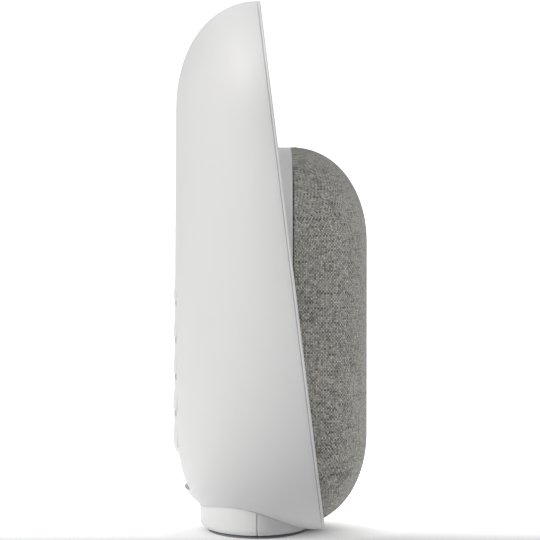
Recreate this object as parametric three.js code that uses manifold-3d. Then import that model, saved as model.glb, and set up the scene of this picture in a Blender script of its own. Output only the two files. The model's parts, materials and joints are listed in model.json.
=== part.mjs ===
// Table-top smart display: a white moulded shell cut by a leaning front plane, an arched touch
// display in the top of that plane, and a fabric-covered loudspeaker pod standing out below it.
// Millimetres, +Z up, the front faces -Y. The origin is under the middle of the object, on the table.
import * as THREE from "three";
import { mergeVertices } from "three/addons/utils/BufferGeometryUtils.js";
import Module from "manifold-3d";

const wasm = await Module();
wasm.setup();

// ---- Driving dimensions -------------------------------------------------------------------
const HEIGHT = 205; // table to the top of the rim
const HALF_WIDTH = 80; // widest point of the rim, each side of the middle
const TILT = THREE.MathUtils.degToRad(7); // the front plane leans back by this much
const TOE_Y = -21.6; // where the front plane would meet the table
const TOE_Z = 1.1; // lowest point of the rim, just clear of the table
const GAP = 0.3; // clearance between neighbouring pieces
const WALL = 2.4; // moulded wall of the rear shell
const PANEL_EDGE = 1; // the front panel's visible edge, square to the leaning plane
const PANEL = 2.4; // its full thickness, inside the shell's wall

const BACK_LOW_Y = 37; // rear face at the start of the bottom curve
const BACK_HIGH_Y = 36.2; // rear face at the start of the top curve
const TOP_CURVE_Z = 162; // above this the rear face curves forward
const BOTTOM_CURVE_Z = 40; // below this the rear face curves forward
const TOP_DEPTH_POWER = 2.15; // roundness of each curve: 2 is an ellipse, more is squarer
const BOTTOM_DEPTH_POWER = 3.1;
const SHOULDER_Z = 158; // above this the rim narrows to its arched top
const HIP_Z = 84; // below this the rim narrows to its toe
const RIM_POWER = 3;
const WAIST_Z = 120; // widest height, and the sides taper from here down
const SIDE_TAPER = 0.07; // share of the width lost between the waist and the toe
const PLAN_POWER = 2.2; // roundness of a level slice through the shell

const POD_FRONT_Y = -37.5; // foremost point of the fabric
const POD_SEAT_Y = -8.7; // upright plane on which the speaker cover sits
const POD_HALF_WIDTH = 63;
const POD_BOTTOM_Z = 3.3;
const POD_TOP_Z = 147.8;
const POD_CURVE = 35.8; // height of the pod's rounded top and bottom, seen from the side
const POD_CORNER = 49.8; // height of its corners, seen from the front
const POD_DEPTH_POWER = 2.1;
const POD_OUTLINE_POWER = 2.8;
const POD_PLAN_POWER = 3.6;
const FABRIC = 0.9; // knitted cover
const COVER = 1.8; // perforated former under the fabric

const FOOT_Y = 4.8; // the foot's middle, where its two halves meet
const FOOT_HALF_DEPTH = 22.2;
const FOOT_HALF_WIDTH = 44;
const FOOT_WALL = 2.2;
const FOOT_FLOOR_Z = 1.1;
const PAD_THICK = 0.8;
const FOOT_ROUND = 3; // bottom edge of the foot

const LOUVRES = 5;
const LOUVRE_PITCH = 14.1;
const LOUVRE_HEIGHT = 8.6;
const LOUVRE_RISE = 0.5;
const LOUVRE_HALF_WIDTH = 22;
const LOUVRE_LOW_Z = 33.4; // lower edge of the lowest louvre

// ---- Colours and finishes -----------------------------------------------------------------
const finish = (color, roughness, metalness = 0) =>
  new THREE.MeshStandardMaterial({ color, roughness, metalness });
const WHITE = finish(0xe6e6e6, 0.45);
const CLOTH = finish(0x86847f, 0.95);
const BLACK = finish(0x141416, 0.5);
const GLASS = finish(0x08090b, 0.08);
const RUBBER = finish(0x4a4a4e, 0.85);
const STEEL = finish(0xb4b6b8, 0.35, 1);
const ALUMINIUM = finish(0xc8cacd, 0.4, 1);
const FERRITE = finish(0x3a3a3c, 0.6);
const COPPER = finish(0xb87340, 0.35, 1);
const PAPER = finish(0x2a2a2c, 0.8);
const BOARD = finish(0x1f5a3a, 0.6);
const LIGHT = finish(0xf4f6fa, 0.3);

// ---- Solids -------------------------------------------------------------------------------
const root = new THREE.Group();
const leaning = new THREE.Group(); // local y runs square behind the front plane, local z up it
leaning.position.set(0, TOE_Y, 0);
leaning.rotation.x = -TILT;
leaning.updateMatrix();
root.add(leaning);

function merged(geometry) {
  const source = geometry.index ? geometry.toNonIndexed() : geometry;
  const bare = new THREE.BufferGeometry();
  bare.setAttribute("position", source.getAttribute("position").clone());
  return mergeVertices(bare, 1e-3);
}

function signedVolume(vertices, triangles) {
  const corner = (i) => new THREE.Vector3().fromArray(vertices, 3 * triangles[i]);
  let sum = 0;
  for (let i = 0; i < triangles.length; i += 3) {
    sum += corner(i).dot(corner(i + 1).cross(corner(i + 2)));
  }
  return sum / 6;
}

function solid(geometry) {
  const mesh = merged(geometry);
  const vertProperties = mesh.attributes.position.array;
  const triVerts = new Uint32Array(mesh.index.array);
  if (signedVolume(vertProperties, triVerts) < 0) triVerts.reverse();
  return new wasm.Manifold(new wasm.Mesh({ numProp: 3, vertProperties, triVerts }));
}

function geometryOf(body) {
  const mesh = body.getMesh();
  const positions = new Float32Array(mesh.triVerts.length * 3);
  mesh.triVerts.forEach((vertex, i) => {
    const start = vertex * mesh.numProp;
    positions.set(mesh.vertProperties.subarray(start, start + 3), 3 * i);
  });
  const geometry = new THREE.BufferGeometry();
  geometry.setAttribute("position", new THREE.BufferAttribute(positions, 3));
  geometry.computeVertexNormals();
  return geometry;
}

function add(name, shape, material, { at = [0, 0, 0], parent = root } = {}) {
  const body = shape.isBufferGeometry ? solid(shape) : shape;
  const mesh = new THREE.Mesh(geometryOf(body), material);
  mesh.name = name;
  mesh.position.set(...at);
  parent.add(mesh);
  return mesh;
}

// A box from its low corner to its high corner.
function box(low, high) {
  const size = high.map((value, i) => value - low[i]);
  const centre = high.map((value, i) => (value + low[i]) / 2);
  return new THREE.BoxGeometry(...size).translate(...centre);
}

// A closed skin through a list of equal rings of points, with a flat fan on each end.
function loft(rings) {
  const positions = [];
  const face = (...corners) => corners.forEach((c) => positions.push(c.x, c.y, c.z));
  const count = rings[0].length;
  for (let i = 0; i + 1 < rings.length; i++) {
    for (let j = 0; j < count; j++) {
      const k = (j + 1) % count;
      face(rings[i][j], rings[i][k], rings[i + 1][k]);
      face(rings[i][j], rings[i + 1][k], rings[i + 1][j]);
    }
  }
  const middle = (ring) =>
    ring.reduce((sum, p) => sum.add(p), new THREE.Vector3()).divideScalar(count);
  const [first, last] = [rings[0], rings[rings.length - 1]];
  const [low, high] = [middle(first), middle(last)];
  for (let j = 0; j < count; j++) {
    const k = (j + 1) % count;
    face(low, first[k], first[j]);
    face(high, last[j], last[k]);
  }
  const geometry = new THREE.BufferGeometry();
  geometry.setAttribute("position", new THREE.Float32BufferAttribute(positions, 3));
  return geometry;
}

// An outline in x and z, given as points, made into a plate between two depths y.
function plate(points, yFrom, yTo, holes = []) {
  const shape = new THREE.Shape(points);
  shape.holes = holes.map((hole) => new THREE.Path(hole));
  const geometry = new THREE.ExtrudeGeometry(shape, { depth: yTo - yFrom, bevelEnabled: false });
  return geometry.rotateX(Math.PI / 2).translate(0, yTo, 0);
}

// An outline in x and y made into a level plate between two heights z.
function slabZ(points, zFrom, zTo) {
  const shape = new THREE.Shape(points);
  const depth = zTo - zFrom;
  return new THREE.ExtrudeGeometry(shape, { depth, bevelEnabled: false }).translate(0, 0, zFrom);
}

// A turned piece about the Y axis: its profile is [radius, y] pairs and closes on itself.
function turnedY(profile, segments = 24) {
  const points = [...profile, profile[0]].map(([r, y]) => new THREE.Vector2(r, y));
  return new THREE.LatheGeometry(points, segments);
}

// A turned piece about the Z axis.
function turnedZ(profile, segments = 16) {
  return turnedY(profile, segments).rotateX(Math.PI / 2);
}

const signedPower = (value, power) => Math.sign(value) * Math.abs(value) ** power;
const fall = (share, power) => (1 - Math.min(1, Math.max(0, share)) ** power) ** (1 / power);

// A rectangle with superellipse corners, as points in two axes.
function roundedOutline(halfWidth, low, high, corner, { power = 2, steps = 5, middle = 0 } = {}) {
  const points = [];
  const across = Math.min(corner, halfWidth);
  for (const [sx, sz, from] of [[1, 1, 0], [-1, 1, 1], [-1, -1, 0], [1, -1, 1]]) {
    for (let i = 0; i <= steps; i++) {
      const angle = ((from ? steps - i : i) / steps) * (Math.PI / 2);
      const x = halfWidth - across + across * signedPower(Math.cos(angle), 2 / power);
      const z = corner * signedPower(Math.sin(angle), 2 / power);
      points.push(new THREE.Vector2(middle + sx * x, sz > 0 ? high - corner + z : low + corner - z));
    }
  }
  return points.filter((p, i) => p.distanceTo(points[(i + 1) % points.length]) > 1e-4);
}

const circle = (radius, x, y, steps = 16) =>
  Array.from({ length: steps }, (_, i) => {
    const angle = (i / steps) * 2 * Math.PI;
    return new THREE.Vector2(x + radius * Math.cos(angle), y + radius * Math.sin(angle));
  });

// ---- The shell's form ---------------------------------------------------------------------
const planeY = (z) => TOE_Y + z * Math.tan(TILT);

function rimHalfWidth(z) {
  const lost = SIDE_TAPER * (Math.max(0, WAIST_Z - z) / WAIST_Z) ** 2;
  const top = fall((z - SHOULDER_Z) / (HEIGHT - SHOULDER_Z), RIM_POWER);
  const toe = fall((HIP_Z - z) / (HIP_Z - TOE_Z), RIM_POWER);
  return HALF_WIDTH * (1 - lost) * top * toe;
}

function backY(z) {
  const share = (z - BOTTOM_CURVE_Z) / (TOP_CURVE_Z - BOTTOM_CURVE_Z);
  const straight = BACK_LOW_Y + (BACK_HIGH_Y - BACK_LOW_Y) * Math.min(1, Math.max(0, share));
  if (z > TOP_CURVE_Z) {
    const top = planeY(HEIGHT);
    const up = (z - TOP_CURVE_Z) / (HEIGHT - TOP_CURVE_Z);
    return top + (straight - top) * fall(up, TOP_DEPTH_POWER);
  }
  const down = (BOTTOM_CURVE_Z - z) / (BOTTOM_CURVE_Z - TOE_Z);
  return planeY(z) + (straight - planeY(z)) * fall(down, BOTTOM_DEPTH_POWER);
}

// Heights from low to high, closer together towards both ends.
function heights(low, high, count) {
  return Array.from({ length: count }, (_, i) => {
    const share = 0.012 + (0.976 * i) / (count - 1);
    return low + ((high - low) * (1 - Math.cos(Math.PI * share))) / 2;
  });
}

// The closed body behind the front plane. A positive inset shrinks it towards its middle.
function bodyForm(inset = 0, rows = 24, columns = 24) {
  const middleZ = (HEIGHT + TOE_Z) / 2;
  const tall = 1 - inset / ((HEIGHT - TOE_Z) / 2);
  const wide = 1 - inset / HALF_WIDTH;
  const deep = 1 - inset / (BACK_LOW_Y - planeY(BOTTOM_CURVE_Z));
  return solid(
    loft(
      heights(TOE_Z, HEIGHT, rows).map((z) =>
        Array.from({ length: columns + 1 }, (_, i) => {
          const angle = (Math.PI * i) / columns;
          const across = signedPower(Math.cos(angle), 2 / PLAN_POWER);
          const back = Math.max(0, Math.sin(angle)) ** (2 / PLAN_POWER);
          const high = middleZ + (z - middleZ) * tall;
          const depth = (backY(z) - planeY(z)) * deep;
          return new THREE.Vector3(
            rimHalfWidth(z) * wide * across,
            planeY(high) + depth * back,
            high,
          );
        }),
      ),
    ),
  );
}

// Everything between two depths square to the front plane, as a big leaning box.
function leaningSlab(yFrom, yTo) {
  const reach = 300;
  return solid(box([-reach, yFrom, -reach], [reach, yTo, reach]).applyMatrix4(leaning.matrix));
}

const bodyOuter = bodyForm();
const INNER_ROWS = 16;
const INNER_COLUMNS = 18;

// ---- The pod's form -----------------------------------------------------------------------
const POD_ROWS = 18;
const POD_COLUMNS = 20;
const POD_DEPTH = POD_SEAT_Y - GAP - POD_FRONT_Y;
const podMiddleZ = (POD_TOP_Z + POD_BOTTOM_Z) / 2;

function podOutline(inset, steps = 7) {
  return roundedOutline(
    POD_HALF_WIDTH - inset,
    POD_BOTTOM_Z + inset,
    POD_TOP_Z - inset,
    POD_CORNER - inset,
    { power: POD_OUTLINE_POWER, steps },
  );
}

function podHalfWidth(z) {
  const up = (z - (POD_TOP_Z - POD_CORNER)) / POD_CORNER;
  const down = (POD_BOTTOM_Z + POD_CORNER - z) / POD_CORNER;
  const corner = (share) => POD_CORNER * (1 - fall(share, POD_OUTLINE_POWER));
  return POD_HALF_WIDTH - corner(up) - corner(down);
}

function podDepth(z) {
  const up = (z - (POD_TOP_Z - POD_CURVE)) / POD_CURVE;
  const down = (POD_BOTTOM_Z + POD_CURVE - z) / POD_CURVE;
  return POD_DEPTH * fall(up, POD_DEPTH_POWER) * fall(down, POD_DEPTH_POWER);
}

// The pillow-shaped solid in front of the seat plane. behind is how far it runs back past its rim.
function podForm(inset, behind, rows, columns) {
  const tall = 1 - inset / ((POD_TOP_Z - POD_BOTTOM_Z) / 2);
  const wide = 1 - inset / POD_HALF_WIDTH;
  const deep = 1 - inset / POD_DEPTH;
  return solid(
    loft(
      heights(POD_BOTTOM_Z, POD_TOP_Z, rows).map((z) => {
        const half = podHalfWidth(z) * wide;
        const depth = podDepth(z) * deep;
        const high = podMiddleZ + (z - podMiddleZ) * tall;
        const front = Array.from({ length: columns + 1 }, (_, i) => {
          const angle = (Math.PI * i) / columns;
          const across = signedPower(Math.cos(angle), 2 / POD_PLAN_POWER);
          const out = Math.max(0, Math.sin(angle)) ** (2 / POD_PLAN_POWER);
          return new THREE.Vector3(half * across, POD_SEAT_Y - GAP - depth * out, high);
        });
        const rear = POD_SEAT_Y - GAP + behind;
        return [new THREE.Vector3(half, rear, high), ...front, new THREE.Vector3(-half, rear, high)];
      }),
    ),
  );
}

// ---- Housings -----------------------------------------------------------------------------
const IO_HALF_WIDTH = 22;
const IO_LOW_Z = 17;
const IO_HIGH_Z = 31;
const IO_WALL = 1.2;
const IO_PLATE_Y = 26; // inner face of the recessed connector plate

const MUTE_Z = 150; // microphone mute slider, on the rear
const MUTE_TRAVEL = 4;
const MUTE_KNOB = 4.2; // half length of the knob
const MUTE_HALF_HEIGHT = 2.3;

// The volume rocker, on the right-hand side seen from the front, tilts on this point.
const rockerPivot = [72.6, 4, 125];
const ROCKER_HALF_LENGTH = 11;
const ROCKER_HALF_WIDTH = 2.2;

const SLOT_HEIGHT = 2.2; // opening under each louvre
const louvreTop = (i) => LOUVRE_LOW_Z + i * LOUVRE_PITCH + LOUVRE_HEIGHT;

// The rear surface of the shell at a given place.
function rearSurfaceY(x, z) {
  return planeY(z) + (backY(z) - planeY(z)) * fall(Math.abs(x) / rimHalfWidth(z), PLAN_POWER);
}

// A louvre's hood grows out of the shell from its top edge down to its open lower edge.
function hood(low, high) {
  const columns = 8;
  const ring = (z, rise) => {
    const at = (i) => -LOUVRE_HALF_WIDTH + (2 * LOUVRE_HALF_WIDTH * i) / columns;
    const line = (from, offset) =>
      Array.from({ length: columns + 1 }, (_, i) => {
        const x = at(from ? columns - i : i);
        return new THREE.Vector3(x, rearSurfaceY(x, z) + offset, z);
      });
    return [...line(0, rise), ...line(1, -1)];
  };
  return solid(loft([ring(low, LOUVRE_RISE), ring(high, 0)]));
}

// What is cut from the shell, each as a solid that passes through its wall.
const louvreSlots = Array.from({ length: LOUVRES }, (_, i) => {
  const high = louvreTop(i) - LOUVRE_HEIGHT - 0.4;
  const half = LOUVRE_HALF_WIDTH - 2;
  return solid(box([-half, 20, high - SLOT_HEIGHT], [half, 60, high]));
});

function connectorWindow() {
  const outline = roundedOutline(IO_HALF_WIDTH + GAP, IO_LOW_Z - GAP, IO_HIGH_Z + GAP, 3, { steps: 3 });
  return solid(plate(outline, 20, 50));
}

function muteSlot() {
  const half = MUTE_KNOB + MUTE_TRAVEL / 2 + 0.5;
  const reach = MUTE_HALF_HEIGHT + 0.4;
  return solid(plate(roundedOutline(half, MUTE_Z - reach, MUTE_Z + reach, 2, { steps: 3 }), 30, 50));
}

// A round-ended bar that lies along z and reaches out along x from the rocker's pivot.
function rockerPill(halfLength, halfWidth, from, to) {
  const outline = roundedOutline(halfLength, -halfWidth, halfWidth, halfWidth, { steps: 4 });
  return slabZ(outline, from, to).rotateY(Math.PI / 2);
}

function rearShell() {
  const cuts = [
    bodyForm(WALL, INNER_ROWS, INNER_COLUMNS),
    leaningSlab(-300, PANEL_EDGE + GAP),
    podForm(-0.55, GAP + 0.25, POD_ROWS, POD_COLUMNS),
  ];
  const openings = [
    ...louvreSlots,
    connectorWindow(),
    muteSlot(),
    solid(
      rockerPill(ROCKER_HALF_LENGTH + 0.5, ROCKER_HALF_WIDTH + 0.45, -10, 20).translate(...rockerPivot),
    ),
  ];
  let shell = cuts.reduce((rest, cut) => rest.subtract(cut), bodyOuter);
  for (let i = 0; i < LOUVRES; i++) {
    shell = shell.add(hood(louvreTop(i) - LOUVRE_HEIGHT, louvreTop(i)));
  }
  shell = openings.reduce((rest, cut) => rest.subtract(cut), shell);
  for (const [x, z] of boardHoles) {
    const end = rearSurfaceY(x, z) - WALL / 2;
    const boss = turnedY([[0, BOSS_Y], [3, BOSS_Y], [3, end], [0, end]], 8).translate(x, 0, z);
    const bore = turnedY([[0, 20], [1.6, 20], [1.6, 30], [0, 30]], 8).translate(x, 0, z);
    shell = shell.add(solid(boss)).subtract(solid(bore));
  }
  return shell;
}

const BOARD_HALF_WIDTH = 40;
const BOARD_LOW_Z = 33;
const BOARD_HIGH_Z = 106;
const BOARD_Y = 22.4;
const BOARD_THICK = 1.6;
const BOSS_Y = BOARD_Y + BOARD_THICK + GAP; // where the shell's bosses meet the board
const boardHoles = [-1, 1].flatMap((side) =>
  [BOARD_LOW_Z + 5, BOARD_HIGH_Z - 5].map((z) => [side * (BOARD_HALF_WIDTH - 4.5), z]),
);

// The arched cover glass, in the leaning plane's own x and z.
const GLASS_HALF_WIDTH = 70;
const GLASS_LOW = 154.6;
const GLASS_HIGH = 200.6;
const GLASS_THICK = 1.1;
const GLASS_SHOULDER = 42;
const SCREEN_HALF_WIDTH = 44;
const SCREEN_LOW = 160;
const SCREEN_HIGH = 194;
const LIGHT_BAR_Z = 151.4;
const LIGHT_BAR_HALF = 24;

function glassOutline(inset, steps = 8) {
  const arch = roundedOutline(
    GLASS_HALF_WIDTH - inset,
    GLASS_LOW - 60,
    GLASS_HIGH - inset,
    GLASS_SHOULDER - inset,
    { power: RIM_POWER, steps },
  ).filter((p) => p.y > GLASS_LOW + 6);
  const foot = roundedOutline(GLASS_HALF_WIDTH - inset - 1, GLASS_LOW + inset, GLASS_LOW + 12, 5, {
    steps: 3,
  }).filter((p) => p.y < GLASS_LOW + 6);
  return [...arch, ...foot];
}

function frontPanel() {
  const edge = bodyOuter.intersect(leaningSlab(-1, PANEL_EDGE));
  const spigot = bodyForm(WALL + 0.5, INNER_ROWS, INNER_COLUMNS).intersect(leaningSlab(-1, PANEL));
  const clear = podForm(-0.5, GAP, POD_ROWS, POD_COLUMNS);
  const opening = solid(plate(podOutline(3), -60, 20));
  const ledge = solid(plate(podOutline(0), POD_SEAT_Y, 20)).subtract(leaningSlab(PANEL, 80));
  const lean = (geometry) => solid(geometry.applyMatrix4(leaning.matrix));
  const screen = roundedOutline(SCREEN_HALF_WIDTH + 1.5, SCREEN_LOW - 1.5, SCREEN_HIGH + 1.5, 2, {
    steps: 2,
  });
  const lightSlot = roundedOutline(LIGHT_BAR_HALF + GAP, LIGHT_BAR_Z - 1.2, LIGHT_BAR_Z + 1.2, 1.2, {
    steps: 3,
  });
  const pocketDepth = GLASS_THICK + GAP;
  return edge
    .add(spigot)
    .subtract(clear)
    .add(ledge)
    .subtract(opening)
    .subtract(lean(plate(glassOutline(-GAP), -5, pocketDepth)))
    .subtract(lean(plate(screen, -5, 10)))
    .subtract(lean(plate(lightSlot, -5, 10)));
}

add("rear_shell", rearShell(), WHITE);
add("front_panel", frontPanel(), WHITE);

// ---- Display ------------------------------------------------------------------------------
const inPlane = { parent: leaning };
add("display_glass", plate(glassOutline(0), 0, GLASS_THICK), GLASS, inPlane);
const screenOutline = roundedOutline(SCREEN_HALF_WIDTH, SCREEN_LOW, SCREEN_HIGH, 1, { steps: 1 });
add("display_panel", plate(screenOutline, 1.5, 4), BLACK, inPlane);
const trayOutline = (inset) =>
  roundedOutline(50 - inset, SCREEN_LOW - 3 + inset, SCREEN_HIGH + 2.4 - inset, 2, { steps: 2 });
add(
  "display_tray",
  solid(plate(trayOutline(0), 4.3, 6.4)).subtract(solid(plate(trayOutline(1), 5.1, 9))),
  STEEL,
  inPlane,
);
const driverOutline = roundedOutline(30, SCREEN_LOW + 2, SCREEN_LOW + 24, 1, { steps: 1 });
add("display_driver_board", plate(driverOutline, 6.8, 7.8), BOARD, inPlane);
const lightOutline = (grow) =>
  roundedOutline(LIGHT_BAR_HALF + grow, LIGHT_BAR_Z - 0.9 - grow, LIGHT_BAR_Z + 0.9 + grow, 0.9, {
    steps: 4,
  });
add("light_bar", plate(lightOutline(0), 0, 3.4), LIGHT, inPlane);
const ledOutline = roundedOutline(LIGHT_BAR_HALF + 2, LIGHT_BAR_Z - 2.6, LIGHT_BAR_Z + 2.6, 0.8, {
  steps: 1,
});
add("light_bar_board", plate(ledOutline, 3.8, 4.8), BOARD, inPlane);
for (const [side, name] of [[-1, "left"], [1, "right"]]) {
  const mic = roundedOutline(5, GLASS_LOW + 5, GLASS_LOW + 13, 1, { steps: 1, middle: side * 59 });
  add(`microphone_board_${name}`, plate(mic, PANEL + 0.4, PANEL + 1.4), BOARD, inPlane);
}

// ---- Speaker cover ------------------------------------------------------------------------
add("grille_fabric", podForm(0, 0, POD_ROWS, POD_COLUMNS).subtract(podForm(FABRIC, 3, 14, 16)), CLOTH);

function grilleFrame() {
  let frame = podForm(FABRIC + GAP, 0, 14, 16).subtract(podForm(FABRIC + GAP + COVER, 3, 12, 14));
  const rows = 6;
  const columns = 3;
  for (let row = 0; row < rows; row++) {
    for (let column = 0; column < columns; column++) {
      const x = (column - (columns - 1) / 2) * 32;
      const z = podMiddleZ + (row - (rows - 1) / 2) * 16;
      const cut = roundedOutline(13, z - 5, z + 5, 4, { steps: 1, middle: x });
      frame = frame.subtract(solid(plate(cut, -60, -25)));
    }
  }
  return frame;
}
add("grille_frame", grilleFrame(), BLACK);

// ---- Loudspeakers -------------------------------------------------------------------------
const BAFFLE_FRONT_Y = -16;
const BAFFLE_BACK_Y = -13;
const WOOFER_Z = 60;
const TWEETER_Z = 120;
const CUT_OUT = 33;
const SCREW_CIRCLE = 37.6;
const wooferScrews = Array.from({ length: 4 }, (_, i) => {
  const angle = (Math.PI / 2) * (i + 0.5);
  return [SCREW_CIRCLE * Math.cos(angle), SCREW_CIRCLE * Math.sin(angle)];
});

add(
  "baffle",
  plate(podOutline(5.5), BAFFLE_FRONT_Y, BAFFLE_BACK_Y, [
    circle(CUT_OUT, 0, WOOFER_Z, 24),
    circle(13.5, 0, TWEETER_Z, 16),
    ...wooferScrews.map(([x, z]) => circle(1.6, x, WOOFER_Z + z, 8)),
  ]),
  BLACK,
);

const BOX_BACK_Y = 15.8;
const BOX_WALL = 2;
function speakerBox() {
  const outline = (inset) =>
    roundedOutline(55 - inset, 24 + inset, 139 - inset, 24 - inset, { steps: 4 });
  const outer = solid(plate(outline(0), BAFFLE_BACK_Y + GAP, BOX_BACK_Y));
  const inner = solid(plate(outline(BOX_WALL), -40, BOX_BACK_Y - BOX_WALL));
  const grommetHole = solid(turnedY([[0, 0], [3.3, 0], [3.3, 40], [0, 40]], 12).translate(-30, 0, 96));
  return outer.subtract(inner).subtract(grommetHole);
}
add("speaker_box", speakerBox(), BLACK);
add(
  "lead_grommet",
  turnedY(
    [[1.1, 12.7], [4.6, 12.7], [4.6, 13.5], [3, 13.5], [3, 16.1], [4.6, 16.1], [4.6, 17], [1.1, 17]],
    12,
  ),
  RUBBER,
  { at: [-30, 0, 96] },
);

const woofer = { at: [0, 0, WOOFER_Z] };
const FLANGE_Y = BAFFLE_FRONT_Y - 0.9;
const screwBores = wooferScrews.map(([x, z]) =>
  solid(turnedY([[0, -25], [1.6, -25], [1.6, -14], [0, -14]], 8).translate(x, 0, z)),
);
const bored = (body) => screwBores.reduce((rest, bore) => rest.subtract(bore), body);
const gasketProfile = [[CUT_OUT + 0.4, -16.6], [40, -16.6], [40, -16.3], [CUT_OUT + 0.4, -16.3]];
add("woofer_gasket", bored(solid(turnedY(gasketProfile))), RUBBER, woofer);

function basket() {
  const profile = [
    [31.6, FLANGE_Y],
    [31.6, FLANGE_Y - 2],
    [40.2, FLANGE_Y - 2],
    [40.2, FLANGE_Y],
    [32.4, FLANGE_Y],
    [32.4, -12],
    [22.5, 0.2],
    [13.9, 0.2],
    [13.9, -1.2],
    [21.4, -1.2],
    [31.2, -12.6],
  ];
  let frame = solid(turnedY(profile, 24));
  for (let i = 0; i < 4; i++) {
    const window = box([-11, -11.4, 18], [11, -1.6, 34]).rotateY((Math.PI / 2) * (i + 0.5));
    frame = frame.subtract(solid(window));
  }
  return bored(frame);
}
add("woofer_basket", basket(), BLACK, woofer);
add("woofer_top_plate", turnedY([[13.5, 0.5], [20, 0.5], [20, 3.5], [13.5, 3.5]]), STEEL, woofer);
add("woofer_magnet", turnedY([[14.5, 3.8], [21, 3.8], [21, 9.6], [14.5, 9.6]]), FERRITE, woofer);
add(
  "woofer_yoke",
  turnedY([[0, 0.5], [12.1, 0.5], [12.1, 9.9], [20, 9.9], [20, 13], [0, 13]]),
  STEEL,
  woofer,
);
// The moving parts travel 2.5 mm each way along the axis of the magnet gap.
add("woofer_voice_coil", turnedY([[12.5, -7.9], [13.1, -7.9], [13.1, 5.6], [12.5, 5.6]]), COPPER, woofer);
add(
  "woofer_cone",
  turnedY([[12.5, -8.2], [13.6, -8.2], [28.6, -17], [29.4, -17], [29.4, -17.8], [28.4, -17.8], [13, -9]]),
  PAPER,
  woofer,
);
const capCurve = Array.from({ length: 5 }, (_, i) => {
  const angle = (i / 4) * (Math.PI / 2);
  return [15 * Math.sin(angle), -10.9 - 4.2 * Math.cos(angle)];
});
const domeUnder = capCurve.map(([r, y]) => [r * 0.94, y + 0.7]).reverse();
add("woofer_dust_cap", turnedY([...capCurve, ...domeUnder], 16), PAPER, woofer);
const roll = (radius, from) =>
  Array.from({ length: 6 }, (_, i) => {
    const angle = (i / 5) * Math.PI;
    return [32.2 - radius * Math.cos(angle), from - radius * Math.sin(angle)];
  });
add(
  "woofer_surround",
  turnedY([...roll(2.4, -19.3), ...roll(1.9, -19.3).reverse()], 24),
  RUBBER,
  woofer,
);
const ripples = (shift) =>
  Array.from({ length: 9 }, (_, i) => [14 + i * 0.85, shift + 0.5 * Math.sin(i * 1.57)]);
add(
  "woofer_spider",
  turnedY([...ripples(-2.6), ...ripples(-2.2).reverse()], 16),
  CLOTH,
  woofer,
);
wooferScrews.forEach(([x, z], i) => {
  const head = FLANGE_Y - 2;
  const screw = turnedY(
    [[0, head - 1.6], [2, head - 1.6], [2, head - 0.3], [1.2, head - 0.3], [1.2, -14.2], [0, -14.2]],
    8,
  );
  add(`woofer_screw_${i + 1}`, screw, STEEL, { at: [x, 0, WOOFER_Z + z] });
});

const tweeter = { at: [0, 0, TWEETER_Z] };
add(
  "tweeter_housing",
  turnedY([
    [11, -16.3], [17, -16.3], [17, -18.2], [10.6, -18.2], [10.2, -14], [0, -14], [0, -5], [11, -5],
  ]),
  BLACK,
  tweeter,
);
const tweeterCurve = (radius, rise, base) =>
  Array.from({ length: 5 }, (_, i) => {
    const angle = (i / 4) * (Math.PI / 2);
    return [radius * Math.sin(angle), base - rise * Math.cos(angle)];
  });
add(
  "tweeter_dome",
  turnedY([...tweeterCurve(9.6, 4, -14.4), ...tweeterCurve(9, 3.5, -14.4).reverse()], 16),
  CLOTH,
  tweeter,
);

// ---- Electronics --------------------------------------------------------------------------
const boardShape = plate(
  roundedOutline(BOARD_HALF_WIDTH, BOARD_LOW_Z, BOARD_HIGH_Z, 2, { steps: 2 }),
  BOARD_Y,
  BOARD_Y + BOARD_THICK,
  boardHoles.map(([x, z]) => circle(1.7, x, z, 8)),
);
add("main_board", boardShape, BOARD);
boardHoles.forEach(([x, z], i) => {
  const screw = turnedY([[0, 20.7], [2.6, 20.7], [2.6, 22.1], [1.3, 22.1], [1.3, 29], [0, 29]], 8);
  add(`board_screw_${i + 1}`, screw, STEEL, { at: [x, 0, z] });
});
const shieldY = BOARD_Y + BOARD_THICK + 0.1;
add("processor_shield", box([-24, shieldY, 62], [2, shieldY + 2, 88]), STEEL);
add("radio_shield", box([8, shieldY, 66], [28, shieldY + 2, 88]), STEEL);
add("amplifier_inductor", box([10, shieldY, 44], [20, shieldY + 2, 54]), FERRITE);

const FIN_HEIGHT = 3.8;
function heatSink() {
  const base = shieldY + 2.4;
  let sink = solid(box([-31, base, 41], [31, base + 1.4, 97]));
  for (let i = 0; i < 9; i++) {
    const x = -28 + i * 7;
    sink = sink.add(solid(box([x - 0.6, base + 1, 43], [x + 0.6, base + FIN_HEIGHT, 95])));
  }
  return sink;
}
add("heat_sink", heatSink(), ALUMINIUM);
for (const [side, name] of [[-1, "left"], [1, "right"]]) {
  const x = side * 56;
  add(`antenna_${name}`, box([x - 9, 12, 144], [x + 9, 13, 170]), BOARD);
}

// ---- Connectors, buttons and switches -----------------------------------------------------
const JACK_X = -13;
const PORT_X = 3;
const SYNC_X = 15.5;
const IO_Z = (IO_LOW_Z + IO_HIGH_Z) / 2;

function connectorPlate() {
  const outline = (inset) =>
    roundedOutline(IO_HALF_WIDTH - inset, IO_LOW_Z + inset, IO_HIGH_Z - inset, 3 - inset / 2, { steps: 3 });
  const tray = solid(plate(outline(0), IO_PLATE_Y, 50)).intersect(bodyForm(0.3, 22, 24));
  const port = roundedOutline(4.7, IO_Z - 1.8, IO_Z + 1.8, 1.8, { steps: 3, middle: PORT_X });
  return tray
    .subtract(solid(plate(outline(IO_WALL), IO_PLATE_Y + IO_WALL, 60)))
    .subtract(solid(plate(circle(3.1, JACK_X, IO_Z), 20, 30)))
    .subtract(solid(plate(port, 20, 30)))
    .subtract(solid(plate(circle(3, SYNC_X, IO_Z), 20, 30)));
}
add("connector_plate", connectorPlate(), BLACK);

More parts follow.
